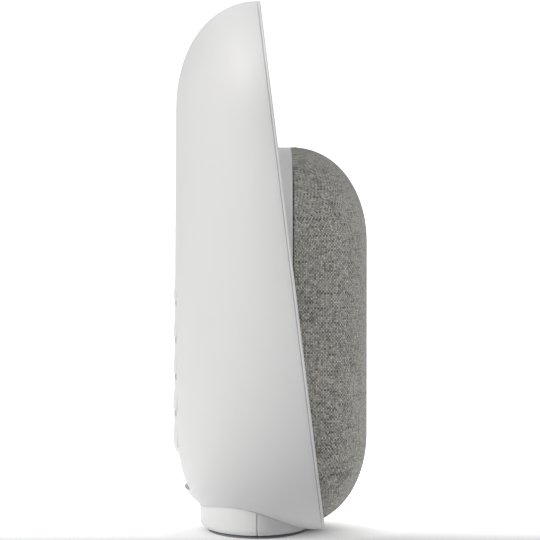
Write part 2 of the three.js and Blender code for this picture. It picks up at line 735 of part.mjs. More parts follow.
const jackBody = solid(
  box([JACK_X - 4.5, 16.3, IO_Z - 5], [JACK_X + 4.5, IO_PLATE_Y - GAP, IO_Z + 5]),
);
const barrel = (radius, from, to) =>
  solid(turnedY([[0, from], [radius, from], [radius, to], [0, to]], 8).translate(JACK_X, 0, IO_Z));
add("power_jack", jackBody.subtract(barrel(2.75, 17.4, 40)).add(barrel(1, 17, 24.5)), BLACK);

const portOutline = (inset) =>
  roundedOutline(4.4 - inset, IO_Z - 1.5 + inset, IO_Z + 1.5 - inset, 1.5 - inset, {
    steps: 3,
    middle: PORT_X,
  });
const tongue = solid(box([PORT_X - 3.2, 19, IO_Z - 0.35], [PORT_X + 3.2, 26, IO_Z + 0.35]));
add(
  "service_port",
  solid(plate(portOutline(0), 19, IO_PLATE_Y + 1))
    .subtract(solid(plate(portOutline(0.35), 20, 40)))
    .add(tongue),
  STEEL,
);
const SYNC_TRAVEL = 0.8;
add(
  "sync_button",
  turnedY([[0, 23.4], [3.8, 23.4], [3.8, 24.6], [2.6, 24.6], [2.6, 28.6], [0, 28.6]], 16),
  BLACK,
  { at: [SYNC_X, 0, IO_Z] },
);
add("sync_switch", box([SYNC_X - 3, 18, IO_Z - 3], [SYNC_X + 3, 23.2 - SYNC_TRAVEL, IO_Z + 3]), BLACK);

const knobX = -MUTE_TRAVEL / 2;
const knobOutline = roundedOutline(
  MUTE_KNOB,
  MUTE_Z - MUTE_HALF_HEIGHT,
  MUTE_Z + MUTE_HALF_HEIGHT,
  1.6,
  { steps: 3, middle: knobX },
);
const skirt = solid(box([knobX - 11, 31, MUTE_Z - 5], [knobX + 11, 32.2, MUTE_Z + 5]));
add("mute_slider", solid(plate(knobOutline, 31, 35.6)).add(skirt), BLACK);
add("mute_switch", box([-7, 27, MUTE_Z - 3], [7, 30.6, MUTE_Z + 3]), BLACK);

function rocker() {
  const pad = solid(rockerPill(ROCKER_HALF_LENGTH, ROCKER_HALF_WIDTH, -0.2, 6.4));
  const flange = solid(rockerPill(ROCKER_HALF_LENGTH + 0.6, ROCKER_HALF_WIDTH + 1, -0.6, 0.5));
  return pad.add(flange);
}
add("volume_rocker", rocker(), WHITE, { at: rockerPivot });

// Two switches stand on the board, under the rocker's two ends.
function volumeSwitchBoard() {
  const board = solid(box([-3, -4, -14], [-2, 4, 14]));
  const key = (z) => solid(box([-2.4, -1.5, z - 1.5], [-1.3, 1.5, z + 1.5]));
  return board.add(key(-8)).add(key(8));
}
add("volume_switch_board", volumeSwitchBoard(), BOARD, { at: rockerPivot });

// ---- Leads --------------------------------------------------------------------------------
function tube(points, radius, sides = 8, steps = 24) {
  const route = new THREE.CatmullRomCurve3(points.map((p) => new THREE.Vector3(...p)));
  const section = new THREE.Shape(circle(radius, 0, 0, sides));
  return new THREE.ExtrudeGeometry(section, { steps, extrudePath: route, bevelEnabled: false });
}
add(
  "speaker_lead",
  tube(
    [[-30, 21.8, 96], [-30, 18, 96], [-30, 12, 96], [-31, 5, 93], [-30, -3, 86], [-27, -6, 79]],
    0.7,
    6,
    14,
  ),
  BLACK,
);
const ribbon = (halfWidth, points) => {
  const strip = [];
  for (const [y, z] of points) {
    strip.push(new THREE.Vector2(y, z));
  }
  for (const [y, z] of [...points].reverse()) {
    strip.push(new THREE.Vector2(y + 0.5, z));
  }
  const shape = new THREE.Shape(strip);
  const geometry = new THREE.ExtrudeGeometry(shape, { depth: 2 * halfWidth, bevelEnabled: false });
  // Shape x is the object's y, shape y its z, and the extrusion its x.
  const turn = new THREE.Matrix4().makeBasis(
    new THREE.Vector3(0, 1, 0),
    new THREE.Vector3(0, 0, 1),
    new THREE.Vector3(1, 0, 0),
  );
  return geometry.applyMatrix4(turn).translate(-halfWidth, 0, 0);
};
add(
  "display_ribbon",
  ribbon(7, [[21.3, 100], [21.3, 128], [20.6, 140], [16, 152], [12, 160], [9.2, 165], [7.8, 170]]),
  COPPER,
);

// ---- Foot ---------------------------------------------------------------------------------
function oval(inset, zFrom, zTo, steps = 36) {
  const points = Array.from({ length: steps }, (_, i) => {
    const angle = (i / steps) * 2 * Math.PI;
    return new THREE.Vector2(
      (FOOT_HALF_WIDTH - inset) * Math.cos(angle),
      FOOT_Y + (FOOT_HALF_DEPTH - inset) * Math.sin(angle),
    );
  });
  return solid(slabZ(points, zFrom, zTo));
}

function footForm() {
  const steps = 36;
  const rings = Array.from({ length: 5 }, (_, i) => {
    const angle = (i / 4) * (Math.PI / 2);
    return [FOOT_ROUND * (1 - Math.sin(angle)), FOOT_FLOOR_Z + FOOT_ROUND * (1 - Math.cos(angle))];
  });
  rings.push([0, 20]);
  const form = loft(
    rings.map(([inset, z]) =>
      Array.from({ length: steps }, (_, i) => {
        const angle = (i / steps) * 2 * Math.PI;
        return new THREE.Vector3(
          (FOOT_HALF_WIDTH - inset) * Math.cos(angle),
          FOOT_Y + (FOOT_HALF_DEPTH - inset) * Math.sin(angle),
          z,
        );
      }),
    ),
  );
  const under = bodyForm(-GAP - 0.25, 24, 26);
  return solid(form)
    .subtract(oval(FOOT_WALL, FOOT_FLOOR_Z + 2.2, 40))
    .subtract(under);
}

const footScrews = [-31, 31].map((x) => [x, FOOT_Y + 9]);
const FOOT_SCREW_LENGTH = 4.4;
const footBores = footScrews.map(([x, y]) => solid(slabZ(circle(1.7, x, y, 10), -5, 10)));

// Only the largest piece is kept where the shell's underside cuts a solid to crumbs.
function largest(body) {
  return body.decompose().sort((a, b) => b.volume() - a.volume())[0];
}

function footHalf(low, high) {
  const half = footForm().intersect(solid(box([-60, low, -5], [60, high, 40])));
  return largest(footBores.reduce((rest, bore) => rest.subtract(bore), half));
}
add("foot_front", footHalf(-60, FOOT_Y - GAP / 2), WHITE);
add("foot_rear", footHalf(FOOT_Y + GAP / 2, 60), WHITE);
add("foot_pad", oval(FOOT_ROUND, 0, PAD_THICK), RUBBER);
footScrews.forEach(([x, y], i) => {
  const low = FOOT_FLOOR_Z + 0.2;
  const high = low + FOOT_SCREW_LENGTH;
  const screw = turnedZ([[0, low], [1.3, low], [1.3, high], [0, high]], 8);
  add(`foot_screw_${i + 1}`, screw, STEEL, { at: [x, y, 0] });
});

function ballast() {
  const block = oval(FOOT_WALL + 1.6, FOOT_FLOOR_Z + 2.6, FOOT_FLOOR_Z + 7);
  const clear = block.subtract(bodyForm(-GAP - 0.3, 24, 26));
  return largest(footBores.reduce((rest, bore) => rest.subtract(bore), clear));
}
add("ballast_plate", ballast(), STEEL);

export default root;
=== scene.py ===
import json
import math
from contextlib import contextmanager

import bmesh
import bpy
import numpy as np
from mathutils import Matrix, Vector


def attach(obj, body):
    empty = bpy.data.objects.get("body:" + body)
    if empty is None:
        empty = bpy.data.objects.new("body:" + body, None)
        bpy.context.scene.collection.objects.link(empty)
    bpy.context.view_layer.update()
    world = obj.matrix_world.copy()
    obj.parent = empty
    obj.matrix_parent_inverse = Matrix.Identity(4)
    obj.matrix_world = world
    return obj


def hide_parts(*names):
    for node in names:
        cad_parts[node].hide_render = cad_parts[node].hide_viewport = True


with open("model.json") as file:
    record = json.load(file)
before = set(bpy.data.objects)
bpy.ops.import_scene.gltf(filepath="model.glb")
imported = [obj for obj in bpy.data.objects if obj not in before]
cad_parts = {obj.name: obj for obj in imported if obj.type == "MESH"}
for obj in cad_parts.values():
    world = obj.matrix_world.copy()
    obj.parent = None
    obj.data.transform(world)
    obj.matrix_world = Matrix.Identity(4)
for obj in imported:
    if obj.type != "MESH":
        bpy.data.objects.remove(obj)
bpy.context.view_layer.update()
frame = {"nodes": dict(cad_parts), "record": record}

bl_info = {
    "name": "Smart display",
    "version": (1, 0, 0),
    "blender": (4, 5, 0),
    "location": "3D View > Sidebar > Smart display",
    "description": "Builds a table-top smart display round its fixed frame",
    "category": "Object",
}

# ---- The forms, in millimetres -------------------------------------------------------------
# The front plane leans back. Everything behind it is the shell, and the speaker pod stands out
# in front of it. Points become metres where a mesh is placed.
MM = 0.001
HEIGHT, HALF_WIDTH = 205.0, 80.0
TILT = math.radians(7)
TOE_Y, TOE_Z = -21.6, 1.1
BACK_LOW_Y, BACK_HIGH_Y = 37.0, 36.2
TOP_CURVE_Z, BOTTOM_CURVE_Z = 162.0, 40.0
TOP_DEPTH_POWER, BOTTOM_DEPTH_POWER = 2.15, 3.1
SHOULDER_Z, HIP_Z, RIM_POWER = 158.0, 84.0, 3.0
WAIST_Z, SIDE_TAPER, PLAN_POWER = 120.0, 0.07, 2.2

POD_FRONT_Y, POD_BACK_Y = -37.5, -9.0
POD_HALF_WIDTH, POD_BOTTOM_Z, POD_TOP_Z = 63.0, 3.3, 147.8
POD_CURVE, POD_CORNER = 35.8, 49.8
POD_DEPTH_POWER, POD_OUTLINE_POWER, POD_PLAN_POWER = 2.1, 2.8, 3.6
SEAT_Y = -8.7

PANEL_THICK, PANEL_CORE, SPIGOT_BACK, CLEARANCE = 1.0, 0.5, 2.4, 0.3

LOUVRES = 5
LOUVRE_LOW_Z, LOUVRE_PITCH, LOUVRE_HEIGHT, LOUVRE_HALF_WIDTH = 33.4, 14.1, 8.6, 22.0
WINDOW_PLACES, WINDOW_HALF_WIDTH, WINDOW_HEIGHT, WINDOW_DROP = (-15, -5, 5, 15), 4.3, 2.2, 0.4
CONNECTOR_LOW_Z, CONNECTOR_HIGH_Z, CONNECTOR_HALF_WIDTH = 17.0, 31.0, 22.0
CONNECTOR_MIDDLE_Z = (CONNECTOR_LOW_Z + CONNECTOR_HIGH_Z) / 2
CONNECTOR_Y, CONNECTOR_CORNER, CONNECTOR_SET_BACK = 26.0, 3.0, 3.0
JACK_X, PORT_X, BUTTON_X = -13.0, 3.0, 15.5
MUTE_Z, MUTE_X = 150.0, -2.0
ROCKER = (72.6, 4.0, 125.0)
FOOT_Y, FOOT_HALF_WIDTH, FOOT_HALF_DEPTH, FOOT_FLOOR_Z = 4.8, 44.0, 22.2, 1.1
FOOT_WALL, FOOT_WEB, FOOT_GAP = 2.2, 2.2, 0.08
GLASS_HALF_WIDTH, GLASS_LOW, GLASS_HIGH, GLASS_SHOULDER = 70.0, 154.6, 200.6, 42.0
LIGHT_Z, LIGHT_HALF_WIDTH, LIGHT_HALF_HEIGHT = 151.4, 24.0, 0.9
CLOTH_SPAN = 250.0  # the cloth's map covers this many millimetres each way

SIN, COS = math.sin(TILT), math.cos(TILT)
PLANE_NORMAL = Vector((0, COS, -SIN))


def fall(share, power):
    """From 1 down to 0 as share goes from 0 to 1, along a rounded corner."""
    return (1 - min(1.0, max(0.0, share)) ** power) ** (1 / power)


def signed_power(value, power):
    return math.copysign(abs(value) ** power, value)


def plane_y(z):
    return TOE_Y + z * SIN / COS


def rim_half_width(z):
    lost = SIDE_TAPER * (max(0.0, WAIST_Z - z) / WAIST_Z) ** 2
    top = fall((z - SHOULDER_Z) / (HEIGHT - SHOULDER_Z), RIM_POWER)
    toe = fall((HIP_Z - z) / (HIP_Z - TOE_Z), RIM_POWER)
    return HALF_WIDTH * (1 - lost) * top * toe


def back_y(z):
    share = min(1.0, max(0.0, (z - BOTTOM_CURVE_Z) / (TOP_CURVE_Z - BOTTOM_CURVE_Z)))
    straight = BACK_LOW_Y + (BACK_HIGH_Y - BACK_LOW_Y) * share
    if z > TOP_CURVE_Z:
        top = plane_y(HEIGHT)
        up = (z - TOP_CURVE_Z) / (HEIGHT - TOP_CURVE_Z)
        return top + (straight - top) * fall(up, TOP_DEPTH_POWER)
    down = (BOTTOM_CURVE_Z - z) / (BOTTOM_CURVE_Z - TOE_Z)
    return plane_y(z) + (straight - plane_y(z)) * fall(down, BOTTOM_DEPTH_POWER)


def depth(z):
    """How far the back stands behind the front plane, level with z."""
    return back_y(z) - plane_y(z)


def height_where(deep, thin, thick):
    """The height where the shell is just so deep, between one where it is less and one where more."""
    for _ in range(60):
        middle = (thin + thick) / 2
        if depth(middle) < deep:
            thin = middle
        else:
            thick = middle
    return thick


def even_heights(width, low, high, count):
    """Heights that share out the length of an outline evenly; width gives its x at a height."""
    fine = low + (high - low) * (1 - np.cos(np.linspace(0, np.pi, 4001))) / 2
    across = np.array([width(z) for z in fine])
    length = np.concatenate([[0], np.cumsum(np.hypot(np.diff(across), np.diff(fine)))])
    return list(np.interp(np.linspace(0, length[-1], count + 1), length, fine))


def even_angles(half_width, deep, power, count):
    """Angles of a rounded section, from one side to the other, that share out its length."""
    fine = (1 - np.cos(np.linspace(0, np.pi, 4001))) * np.pi / 4
    x = half_width * np.cos(fine).clip(0) ** (2 / power)
    y = deep * np.sin(fine).clip(0) ** (2 / power)
    length = np.concatenate([[0], np.cumsum(np.hypot(np.diff(x), np.diff(y)))])
    quarter = np.interp(np.linspace(0, length[-1], count // 2 + 1), length, fine)
    return [*quarter, *(np.pi - quarter[-2::-1])]


def rim_point(z, side, offset, inset=0.0):
    """On the shell, offset behind the front plane, and moved inset inwards along that plane."""
    deep = depth(z)
    level = min(offset / COS, deep)
    x = rim_half_width(z) * fall(level / deep if deep > 0 else 1, PLAN_POWER)
    step = 1e-4
    slope = (rim_half_width(z + step) - rim_half_width(z - step)) / (2 * step)
    out = Vector((1 / COS, -slope)).normalized()
    inwards = Vector((out.x * side, out.y * SIN, out.y * COS)) * inset
    return Vector((x * side, plane_y(z) + level, z)) - inwards


def rim_ring(offset, inset, count=170):
    """The outline of a slice of the shell, parallel to the front plane."""
    low = height_where(offset / COS, TOE_Z, BOTTOM_CURVE_Z)
    high = height_where(offset / COS, HEIGHT, TOP_CURVE_Z)
    heights = even_heights(lambda z: rim_point(z, 1, offset).x, low, high, count)
    up = [rim_point(z, 1, offset, inset) for z in heights]
    down = [rim_point(z, -1, offset, inset) for z in heights[-2:0:-1]]
    return up + down


def pod_half_width(z, grow=0.0):
    up = (z - (POD_TOP_Z - POD_CORNER)) / POD_CORNER
    down = (POD_BOTTOM_Z + POD_CORNER - z) / POD_CORNER
    corner = POD_CORNER * (2 - fall(up, POD_OUTLINE_POWER) - fall(down, POD_OUTLINE_POWER))
    return (POD_HALF_WIDTH - corner) * (1 + grow / POD_HALF_WIDTH)


def pod_depth(z, grow=0.0):
    up = (z - (POD_TOP_Z - POD_CURVE)) / POD_CURVE
    down = (POD_BOTTOM_Z + POD_CURVE - z) / POD_CURVE
    full = POD_BACK_Y - POD_FRONT_Y + grow
    return full * fall(up, POD_DEPTH_POWER) * fall(down, POD_DEPTH_POWER)


def pod_point(angle, z, grow=0.0):
    """On the speaker pod's cloth, or on the same form grown by a clearance."""
    middle = (POD_TOP_Z + POD_BOTTOM_Z) / 2
    tall = 1 + grow / ((POD_TOP_Z - POD_BOTTOM_Z) / 2)
    across = signed_power(math.cos(angle), 2 / POD_PLAN_POWER)
    out = max(0.0, math.sin(angle)) ** (2 / POD_PLAN_POWER)
    return Vector(
        (
            -pod_half_width(z, grow) * across,
            POD_BACK_Y - pod_depth(z, grow) * out,
            middle + (z - middle) * tall,
        )
    )


def leaning(x, offset, up):
    """A point given in the front plane: across, behind it, and up along it."""
    return Vector((x, TOE_Y + offset * COS + up * SIN, up * COS - offset * SIN))


def level(x, y, z):
    return Vector((x, y, z))


def across_and_out(y, x, z):
    """Turns a plate's outline to face the side, so that its depth runs along x."""
    return Vector((x, y, z))


def standing(x, z, y):
    """Turns a plate's outline level, so that its depth runs upwards."""
    return Vector((x, y, z))


def rounded_outline(half_width, low, high, corner, power=2.0, steps=10, middle=0.0):
    """The points of a rectangle with rounded corners, as (across, up)."""
    points = []
    across = min(corner, half_width)
    for sx, sz in ((1, 1), (-1, 1), (-1, -1), (1, -1)):
        for i in range(steps + 1):
            share = i / steps if sx * sz > 0 else 1 - i / steps
            angle = share * math.pi / 2
            x = half_width - across + across * math.cos(angle) ** (2 / power)
            z = corner * max(0.0, math.sin(angle)) ** (2 / power)
            points.append((middle + sx * x, high - corner + z if sz > 0 else low + corner - z))
    return [p for i, p in enumerate(points) if math.dist(p, points[i - 1]) > 1e-3]


def circle(radius, x, z, steps=48):
    turn = [2 * math.pi * i / steps for i in range(steps)]
    return [(x + radius * math.cos(a), z + radius * math.sin(a)) for a in turn]


# ---- Modelling -----------------------------------------------------------------------------
def deselect():
    bpy.ops.object.select_all(action="DESELECT")


def named(name):
    piece = bpy.context.object
    piece.name = piece.data.name = name
    return piece


@contextmanager
def editing(piece, kind="VERT"):
    """Edit mode on one piece, with nothing selected."""
    deselect()
    bpy.context.view_layer.objects.active = piece
    piece.select_set(True)
    bpy.context.tool_settings.mesh_select_mode = [kind == k for k in ("VERT", "EDGE", "FACE")]
    bpy.ops.object.mode_set(mode="EDIT")
    bpy.ops.mesh.select_all(action="DESELECT")
    try:
        yield bmesh.from_edit_mesh(piece.data)
    finally:
        bpy.ops.object.mode_set(mode="OBJECT")


def grid(name, columns, rows, place):
    """A grid whose crossings go where place says for their column and row, with its poles closed."""
    deselect()
    bpy.ops.mesh.primitive_grid_add(x_subdivisions=columns, y_subdivisions=rows, size=1)
    piece = named(name)
    for v in piece.data.vertices:
        v.co = place(round((v.co.x + 0.5) * columns), round((v.co.y + 0.5) * rows)) * MM
    with editing(piece):
        bpy.ops.mesh.select_all(action="SELECT")
        bpy.ops.mesh.remove_doubles(threshold=1e-6)
    return piece


def stack(name, rings):
    """A closed solid: a flat face on the first outline, extruded to each of the next ones."""
    deselect()
    bpy.ops.mesh.primitive_circle_add(vertices=len(rings[0]), fill_type="NGON")
    piece = named(name)
    with editing(piece, "FACE") as form:
        order = form.verts.layers.int.new("order")
        for i, v in enumerate(form.verts):
            v[order] = i
            v.co = rings[0][i] * MM
        bpy.ops.mesh.select_all(action="SELECT")
        for ring in rings[1:]:
            bpy.ops.mesh.extrude_region_move()
            form = bmesh.from_edit_mesh(piece.data)
            order = form.verts.layers.int["order"]
            for v in form.verts:
                if v.select:
                    v.co = ring[v[order]] * MM
        form.verts.layers.int.remove(order)
        bpy.ops.mesh.select_all(action="SELECT")
        bpy.ops.mesh.normals_make_consistent(inside=False)
    return piece


def plate(name, outline, low, high, at=level, low_round=0.0, high_round=0.0, steps=3):
    """An outline in x and z made into a solid between two depths, with either edge rounded."""
    centre = np.array(outline)
    before, after = np.roll(centre, 1, 0), np.roll(centre, -1, 0)
    along = (after - before) / np.linalg.norm(after - before, axis=1)[:, None]
    out = np.stack([along[:, 1], -along[:, 0]], 1)
    area = np.sum(centre[:, 0] * after[:, 1] - after[:, 0] * centre[:, 1])
    out = out if area > 0 else -out
    levels = [(low, 0.0)] if not low_round else []
    for i in range(steps + 1) if low_round else ():
        turn = math.pi / 2 * i / steps
        levels.append((low + low_round * (1 - math.cos(turn)), low_round * (1 - math.sin(turn))))
    for i in range(steps, -1, -1) if high_round else ():
        turn = math.pi / 2 * i / steps
        levels.append((high - high_round * (1 - math.cos(turn)), high_round * (1 - math.sin(turn))))
    if not high_round:
        levels.append((high, 0.0))
    return stack(name, [[at(x, y, z) for x, z in centre - out * inset] for y, inset in levels])


def cut(piece, tool, operation="DIFFERENCE"):
    """Cuts a piece with a tool, or joins the tool to it, and removes the tool."""
    deselect()
    bpy.context.view_layer.objects.active = piece
    piece.select_set(True)
    modifier = piece.modifiers.new("cut", "BOOLEAN")
    modifier.operation, modifier.solver, modifier.object = operation, "EXACT", tool
    bpy.ops.object.modifier_apply(modifier=modifier.name)
    bpy.data.objects.remove(tool)
    return piece


def join(pieces):
    deselect()
    for piece in pieces:
        piece.select_set(True)
    bpy.context.view_layer.objects.active = pieces[0]
    bpy.ops.object.join()
    return pieces[0]


def bisect(piece, point, normal):
    """Takes away what lies behind a plane, and closes the cut."""
    with editing(piece):
        bpy.ops.mesh.select_all(action="SELECT")
        bpy.ops.mesh.bisect(
            plane_co=point * MM, plane_no=normal, use_fill=True, clear_outer=True
        )
    return piece


def smooth(piece, degrees=32):
    deselect()
    bpy.context.view_layer.objects.active = piece
    piece.select_set(True)
    bpy.ops.object.shade_smooth_by_angle(angle=math.radians(degrees))
    return piece


def finished(piece, finish, body, slot, *nodes):
    """Gives a piece its finish, the body that it moves with, and the nodes that it stands for."""
    piece.data.materials.clear()
    piece.data.materials.append(finish)
    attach(piece, body)
    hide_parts(*nodes)
    return piece


# ---- Finishes ------------------------------------------------------------------------------
class Field:
    """A number that changes over a surface. A sum of fields adds the Math nodes that work it out."""

    def __init__(self, finish, socket):
        self.finish, self.socket = finish, socket

    def math(self, operation, *others):
        return self.finish.node("Math", {"operation": operation}, dict(enumerate([self, *others])))

    def __add__(self, other):
        return self.math("ADD", other)

    def __sub__(self, other):
        return self.math("SUBTRACT", other)

    def __rsub__(self, other):
        return (self * -1) + other

    def __mul__(self, other):
        return self.math("MULTIPLY", other)

    def __pow__(self, other):
        return self.math("POWER", other)

    def __mod__(self, other):
        return self.math("FLOORED_MODULO", other)

    def __gt__(self, other):
        return self.math("GREATER_THAN", other)

    def __lt__(self, other):
        return self.math("LESS_THAN", other)

    __radd__, __rmul__ = __add__, __mul__


class Finish:
    """A material, with one method that adds any node and another that feeds the shader."""

    def __init__(self, name, **constants):
        self.material = bpy.data.materials.new(name)
        self.material.use_nodes = True
        self.tree = self.material.node_tree
        self.shader = self.tree.nodes["Principled BSDF"]
        for label, value in constants.items():
            self.shader.inputs[label.replace("_", " ")].default_value = value

    def node(self, kind, settings, sockets, output=0):
        made = self.tree.nodes.new("ShaderNode" + kind)
        for key, value in settings.items():
            if key == "stops":
                ramp = made.color_ramp
                while len(ramp.elements) < len(value):
                    ramp.elements.new(1)
                for stop, (place, colour) in zip(ramp.elements, value):
                    stop.position, stop.color = place, colour
            else:
                setattr(made, key, value)
        for key, value in sockets.items():
            if isinstance(value, Field):
                self.tree.links.new(value.socket, made.inputs[key])
            else:
                made.inputs[key].default_value = value
        return Field(self, made.outputs[output])

    def feed(self, label, value):
        self.tree.links.new(value.socket, self.shader.inputs[label])

    def place(self, source="Object"):
        return self.node("TexCoord", {}, {}, source)

    def noise(self, scale, detail=2.0, place=None, roughness=0.5):
        where = place or self.place()
        inputs = {"Vector": where, "Scale": scale, "Detail": detail, "Roughness": roughness}
        return self.node("TexNoise", {}, inputs)

    def parts(self, place):
        return [self.node("SeparateXYZ", {}, {0: place}, i) for i in range(3)]

    def colours(self, share, *stops):
        """A ramp of plain colours, from share 0 to share 1, evenly spaced."""
        last = len(stops) - 1
        evenly = [(i / last, (*stop[:3], 1)) for i, stop in enumerate(stops)]
        return self.node("ValToRGB", {"stops": evenly}, {0: share})

    def mix(self, share, first, second):
        """The second colour where share is 1, and the first where it is 0."""
        return self.node("Mix", {"data_type": "RGBA"}, {0: share, 6: first, 7: second}, 2)

    def bump(self, height, distance, strength=1.0):
        sockets = {"Height": height, "Distance": distance, "Strength": strength}
        self.feed("Normal", self.node("Bump", {}, sockets))


def shade(colour, factor):
    return tuple(min(1.0, c * factor) for c in colour[:3])


def moulded(name, colour, roughness, grain=0.45, depth_mm=0.012, **constants):
    """Moulded plastic: fine spark-eroded grain, and a faint unevenness of gloss and shade."""
    f = Finish(name, **constants)
    cloud = f.noise(26, 3)
    fine = f.noise(1.9 / (grain * MM), 1)
    f.feed("Base Color", f.colours(cloud, *(shade(colour, part) for part in (0.975, 1.0, 1.02))))
    f.feed("Roughness", f.noise(70, 2) * 0.08 + fine * 0.05 + (roughness - 0.065))
    f.bump(fine + f.noise(900, 1) * 0.3, depth_mm * MM)
    return f.material


def heather_cloth(name, light, dark, pitch_across, pitch_up, span):
    """Plain weave of mixed grey yarns. Each yarn has its own grey, which also changes along it."""
    f = Finish(name, Specular_IOR_Level=0.25, Sheen_Weight=0.2, Sheen_Roughness=0.5)
    flat = f.place("UV")
    across, up, _ = f.parts(flat)
    u = across * (span / pitch_across) + f.noise(300, 1, flat) * 1.1
    v = up * (span / pitch_up) + f.noise(270, 1, flat) * 1.1
    warp_row, weft_row = u.math("FLOOR"), v.math("FLOOR")
    over = ((warp_row + weft_row) % 2) * 2 - 1

    def yarn_height(share, along, side):
        """A rounded yarn that climbs over each crossing and dives under the next."""
        bow = (along * math.pi).math("SINE").math("ABSOLUTE")
        return 1 - (share * 2 - 1).math("ABSOLUTE") ** 3 + over * bow * (0.5 * side)

    warp = yarn_height(u - warp_row, v, 1)
    weft = yarn_height(v - weft_row, u, -1)
    height = warp.math("MAXIMUM", weft)
    on_top = warp > weft

    def yarn_tone(row, along, seed, slubs):
        """Quick changes of grey along a yarn, and long dark slubs in a few of the yarns."""
        quick = f.node("CombineXYZ", {}, {0: row * 7.31, 1: along * 0.33, 2: seed})
        slow = f.node("CombineXYZ", {}, {0: row * 3.77, 1: along * 0.07, 2: seed + 4})
        slub = (f.noise(1.0, 0, slow) - 0.6).math("MAXIMUM", 0.0) * slubs
        return f.noise(1.0, 1, quick) - slub

    warp_tone = yarn_tone(warp_row, v, 2.0, 0.9) + 0.09
    weft_tone = yarn_tone(weft_row, u, 31.0, 2.2) - 0.06
    tone = on_top * (warp_tone - weft_tone) + weft_tone
    fleck = f.noise(1500, 1, flat)
    cloud = f.noise(11, 2, flat)
    mixed = (tone - 0.5) * 2.1 + (fleck - 0.5) * 0.8 + (cloud - 0.5) * 0.3 + 0.56
    grey = f.colours(mixed, dark, [(a + b) * 0.47 for a, b in zip(dark, light)], light)
    shadow = (height * 0.8).math("MINIMUM", 1.0).math("MAXIMUM", 0.0)
    f.feed("Base Color", f.mix(shadow, (*shade(dark, 0.4), 1), grey))
    f.feed("Roughness", 0.98 - height * 0.1)
    f.bump(height + fleck * 0.3, 0.00016, 0.8)
    return f.material


def plain_cloth(name, colour):
    """A fine doped fabric, as on a spider or a soft dome."""
    f = Finish(name)
    x, _, z = f.parts(f.place())
    ribs = (x * 5200).math("SINE") * (z * 5200).math("SINE")
    f.feed("Base Color", f.colours(ribs * 0.25 + f.noise(500) * 0.5 + 0.25, shade(colour, 0.6), colour))
    f.feed("Roughness", f.noise(300) * 0.2 + 0.7)
    f.bump(ribs, 0.0001)
    return f.material


def rubber(name, colour):
    """Soft moulded rubber, dull with a fine stipple and a few rubbed places."""
    f = Finish(name, Specular_IOR_Level=0.3)
    stipple = f.node("TexVoronoi", {}, {"Vector": f.place(), "Scale": 1400.0})
    rubbed = f.noise(60, 3)
    f.feed("Base Color", f.colours(rubbed, shade(colour, 0.85), shade(colour, 1.2)))
    f.feed("Roughness", rubbed * 0.2 + 0.68)
    f.bump(stipple, 0.00003)
    return f.material


def metal(name, colour, roughness, brush=(1, 1, 1)):
    """Sheet or turned metal with the fine lines of rolling, and a little dulling."""
    f = Finish(name, Metallic=1.0)
    along = f.node("Mapping", {}, {"Vector": f.place(), "Scale": brush})
    lines = f.noise(1500, 2, along)
    dull = f.noise(90, 3)
    f.feed("Base Color", f.colours(dull, shade(colour, 0.86), colour))
    f.feed("Roughness", lines * 0.16 + dull * 0.12 + (roughness - 0.12))
    f.bump(lines, 0.00001)
    return f.material


def ferrite(name, colour):
    """Sintered grey ceramic with dark and light grains."""
    f = Finish(name)
    grain = f.node("TexVoronoi", {}, {"Vector": f.place(), "Scale": 900.0})
    f.feed("Base Color", f.colours(grain + f.noise(200) * 0.4, shade(colour, 0.7), shade(colour, 1.5)))
    f.feed("Roughness", f.noise(160) * 0.25 + 0.45)
    f.bump(grain, 0.00004)
    return f.material


def copper_winding(name, colour):
    """Enamelled copper, wound in fine turns along y."""
    f = Finish(name, Metallic=1.0)
    _, y, _ = f.parts(f.place())
    turns = (y * 15700).math("SINE")
    f.feed("Base Color", f.colours(turns * 0.3 + f.noise(240) * 0.5 + 0.2, shade(colour, 0.6), colour))
    f.feed("Roughness", f.noise(400) * 0.2 + 0.28)
    f.bump(turns, 0.00005)
    return f.material


def pulp(name, colour):
    """Pressed paper fibre, as on a loudspeaker cone."""
    f = Finish(name)
    fibres = f.noise(1300, 4, roughness=0.7)
    f.feed("Base Color", f.colours(fibres, shade(colour, 0.6), shade(colour, 1.5)))
    f.feed("Roughness", fibres * 0.2 + 0.72)
    f.bump(fibres, 0.0001)
    return f.material


def circuit_board(name, colour):
    """Solder mask over copper tracks and pads."""
    f = Finish(name, Coat_Roughness=0.2)
    x, _, z = f.parts(f.place())
    sockets = {"Vector": f.place(), "Scale": 260.0}
    cells = f.node("TexVoronoi", {"feature": "DISTANCE_TO_EDGE"}, sockets)
    rows = (x * 2100).math("SINE") * (z * 1700).math("SINE")
    tracks = (cells < 0.06).math("MAXIMUM", (rows > 0.93) * 1.0)
    pads = rows > 0.985
    mask = f.colours(tracks + f.noise(80) * 0.2, shade(colour, 0.8), shade(colour, 1.7))
    f.feed("Base Color", f.mix(pads, mask, (0.75, 0.6, 0.28, 1)))
    f.feed("Metallic", pads * 0.9)
    f.feed("Roughness", f.noise(500) * 0.15 + 0.33)
    f.bump(tracks, 0.00003)
    return f.material


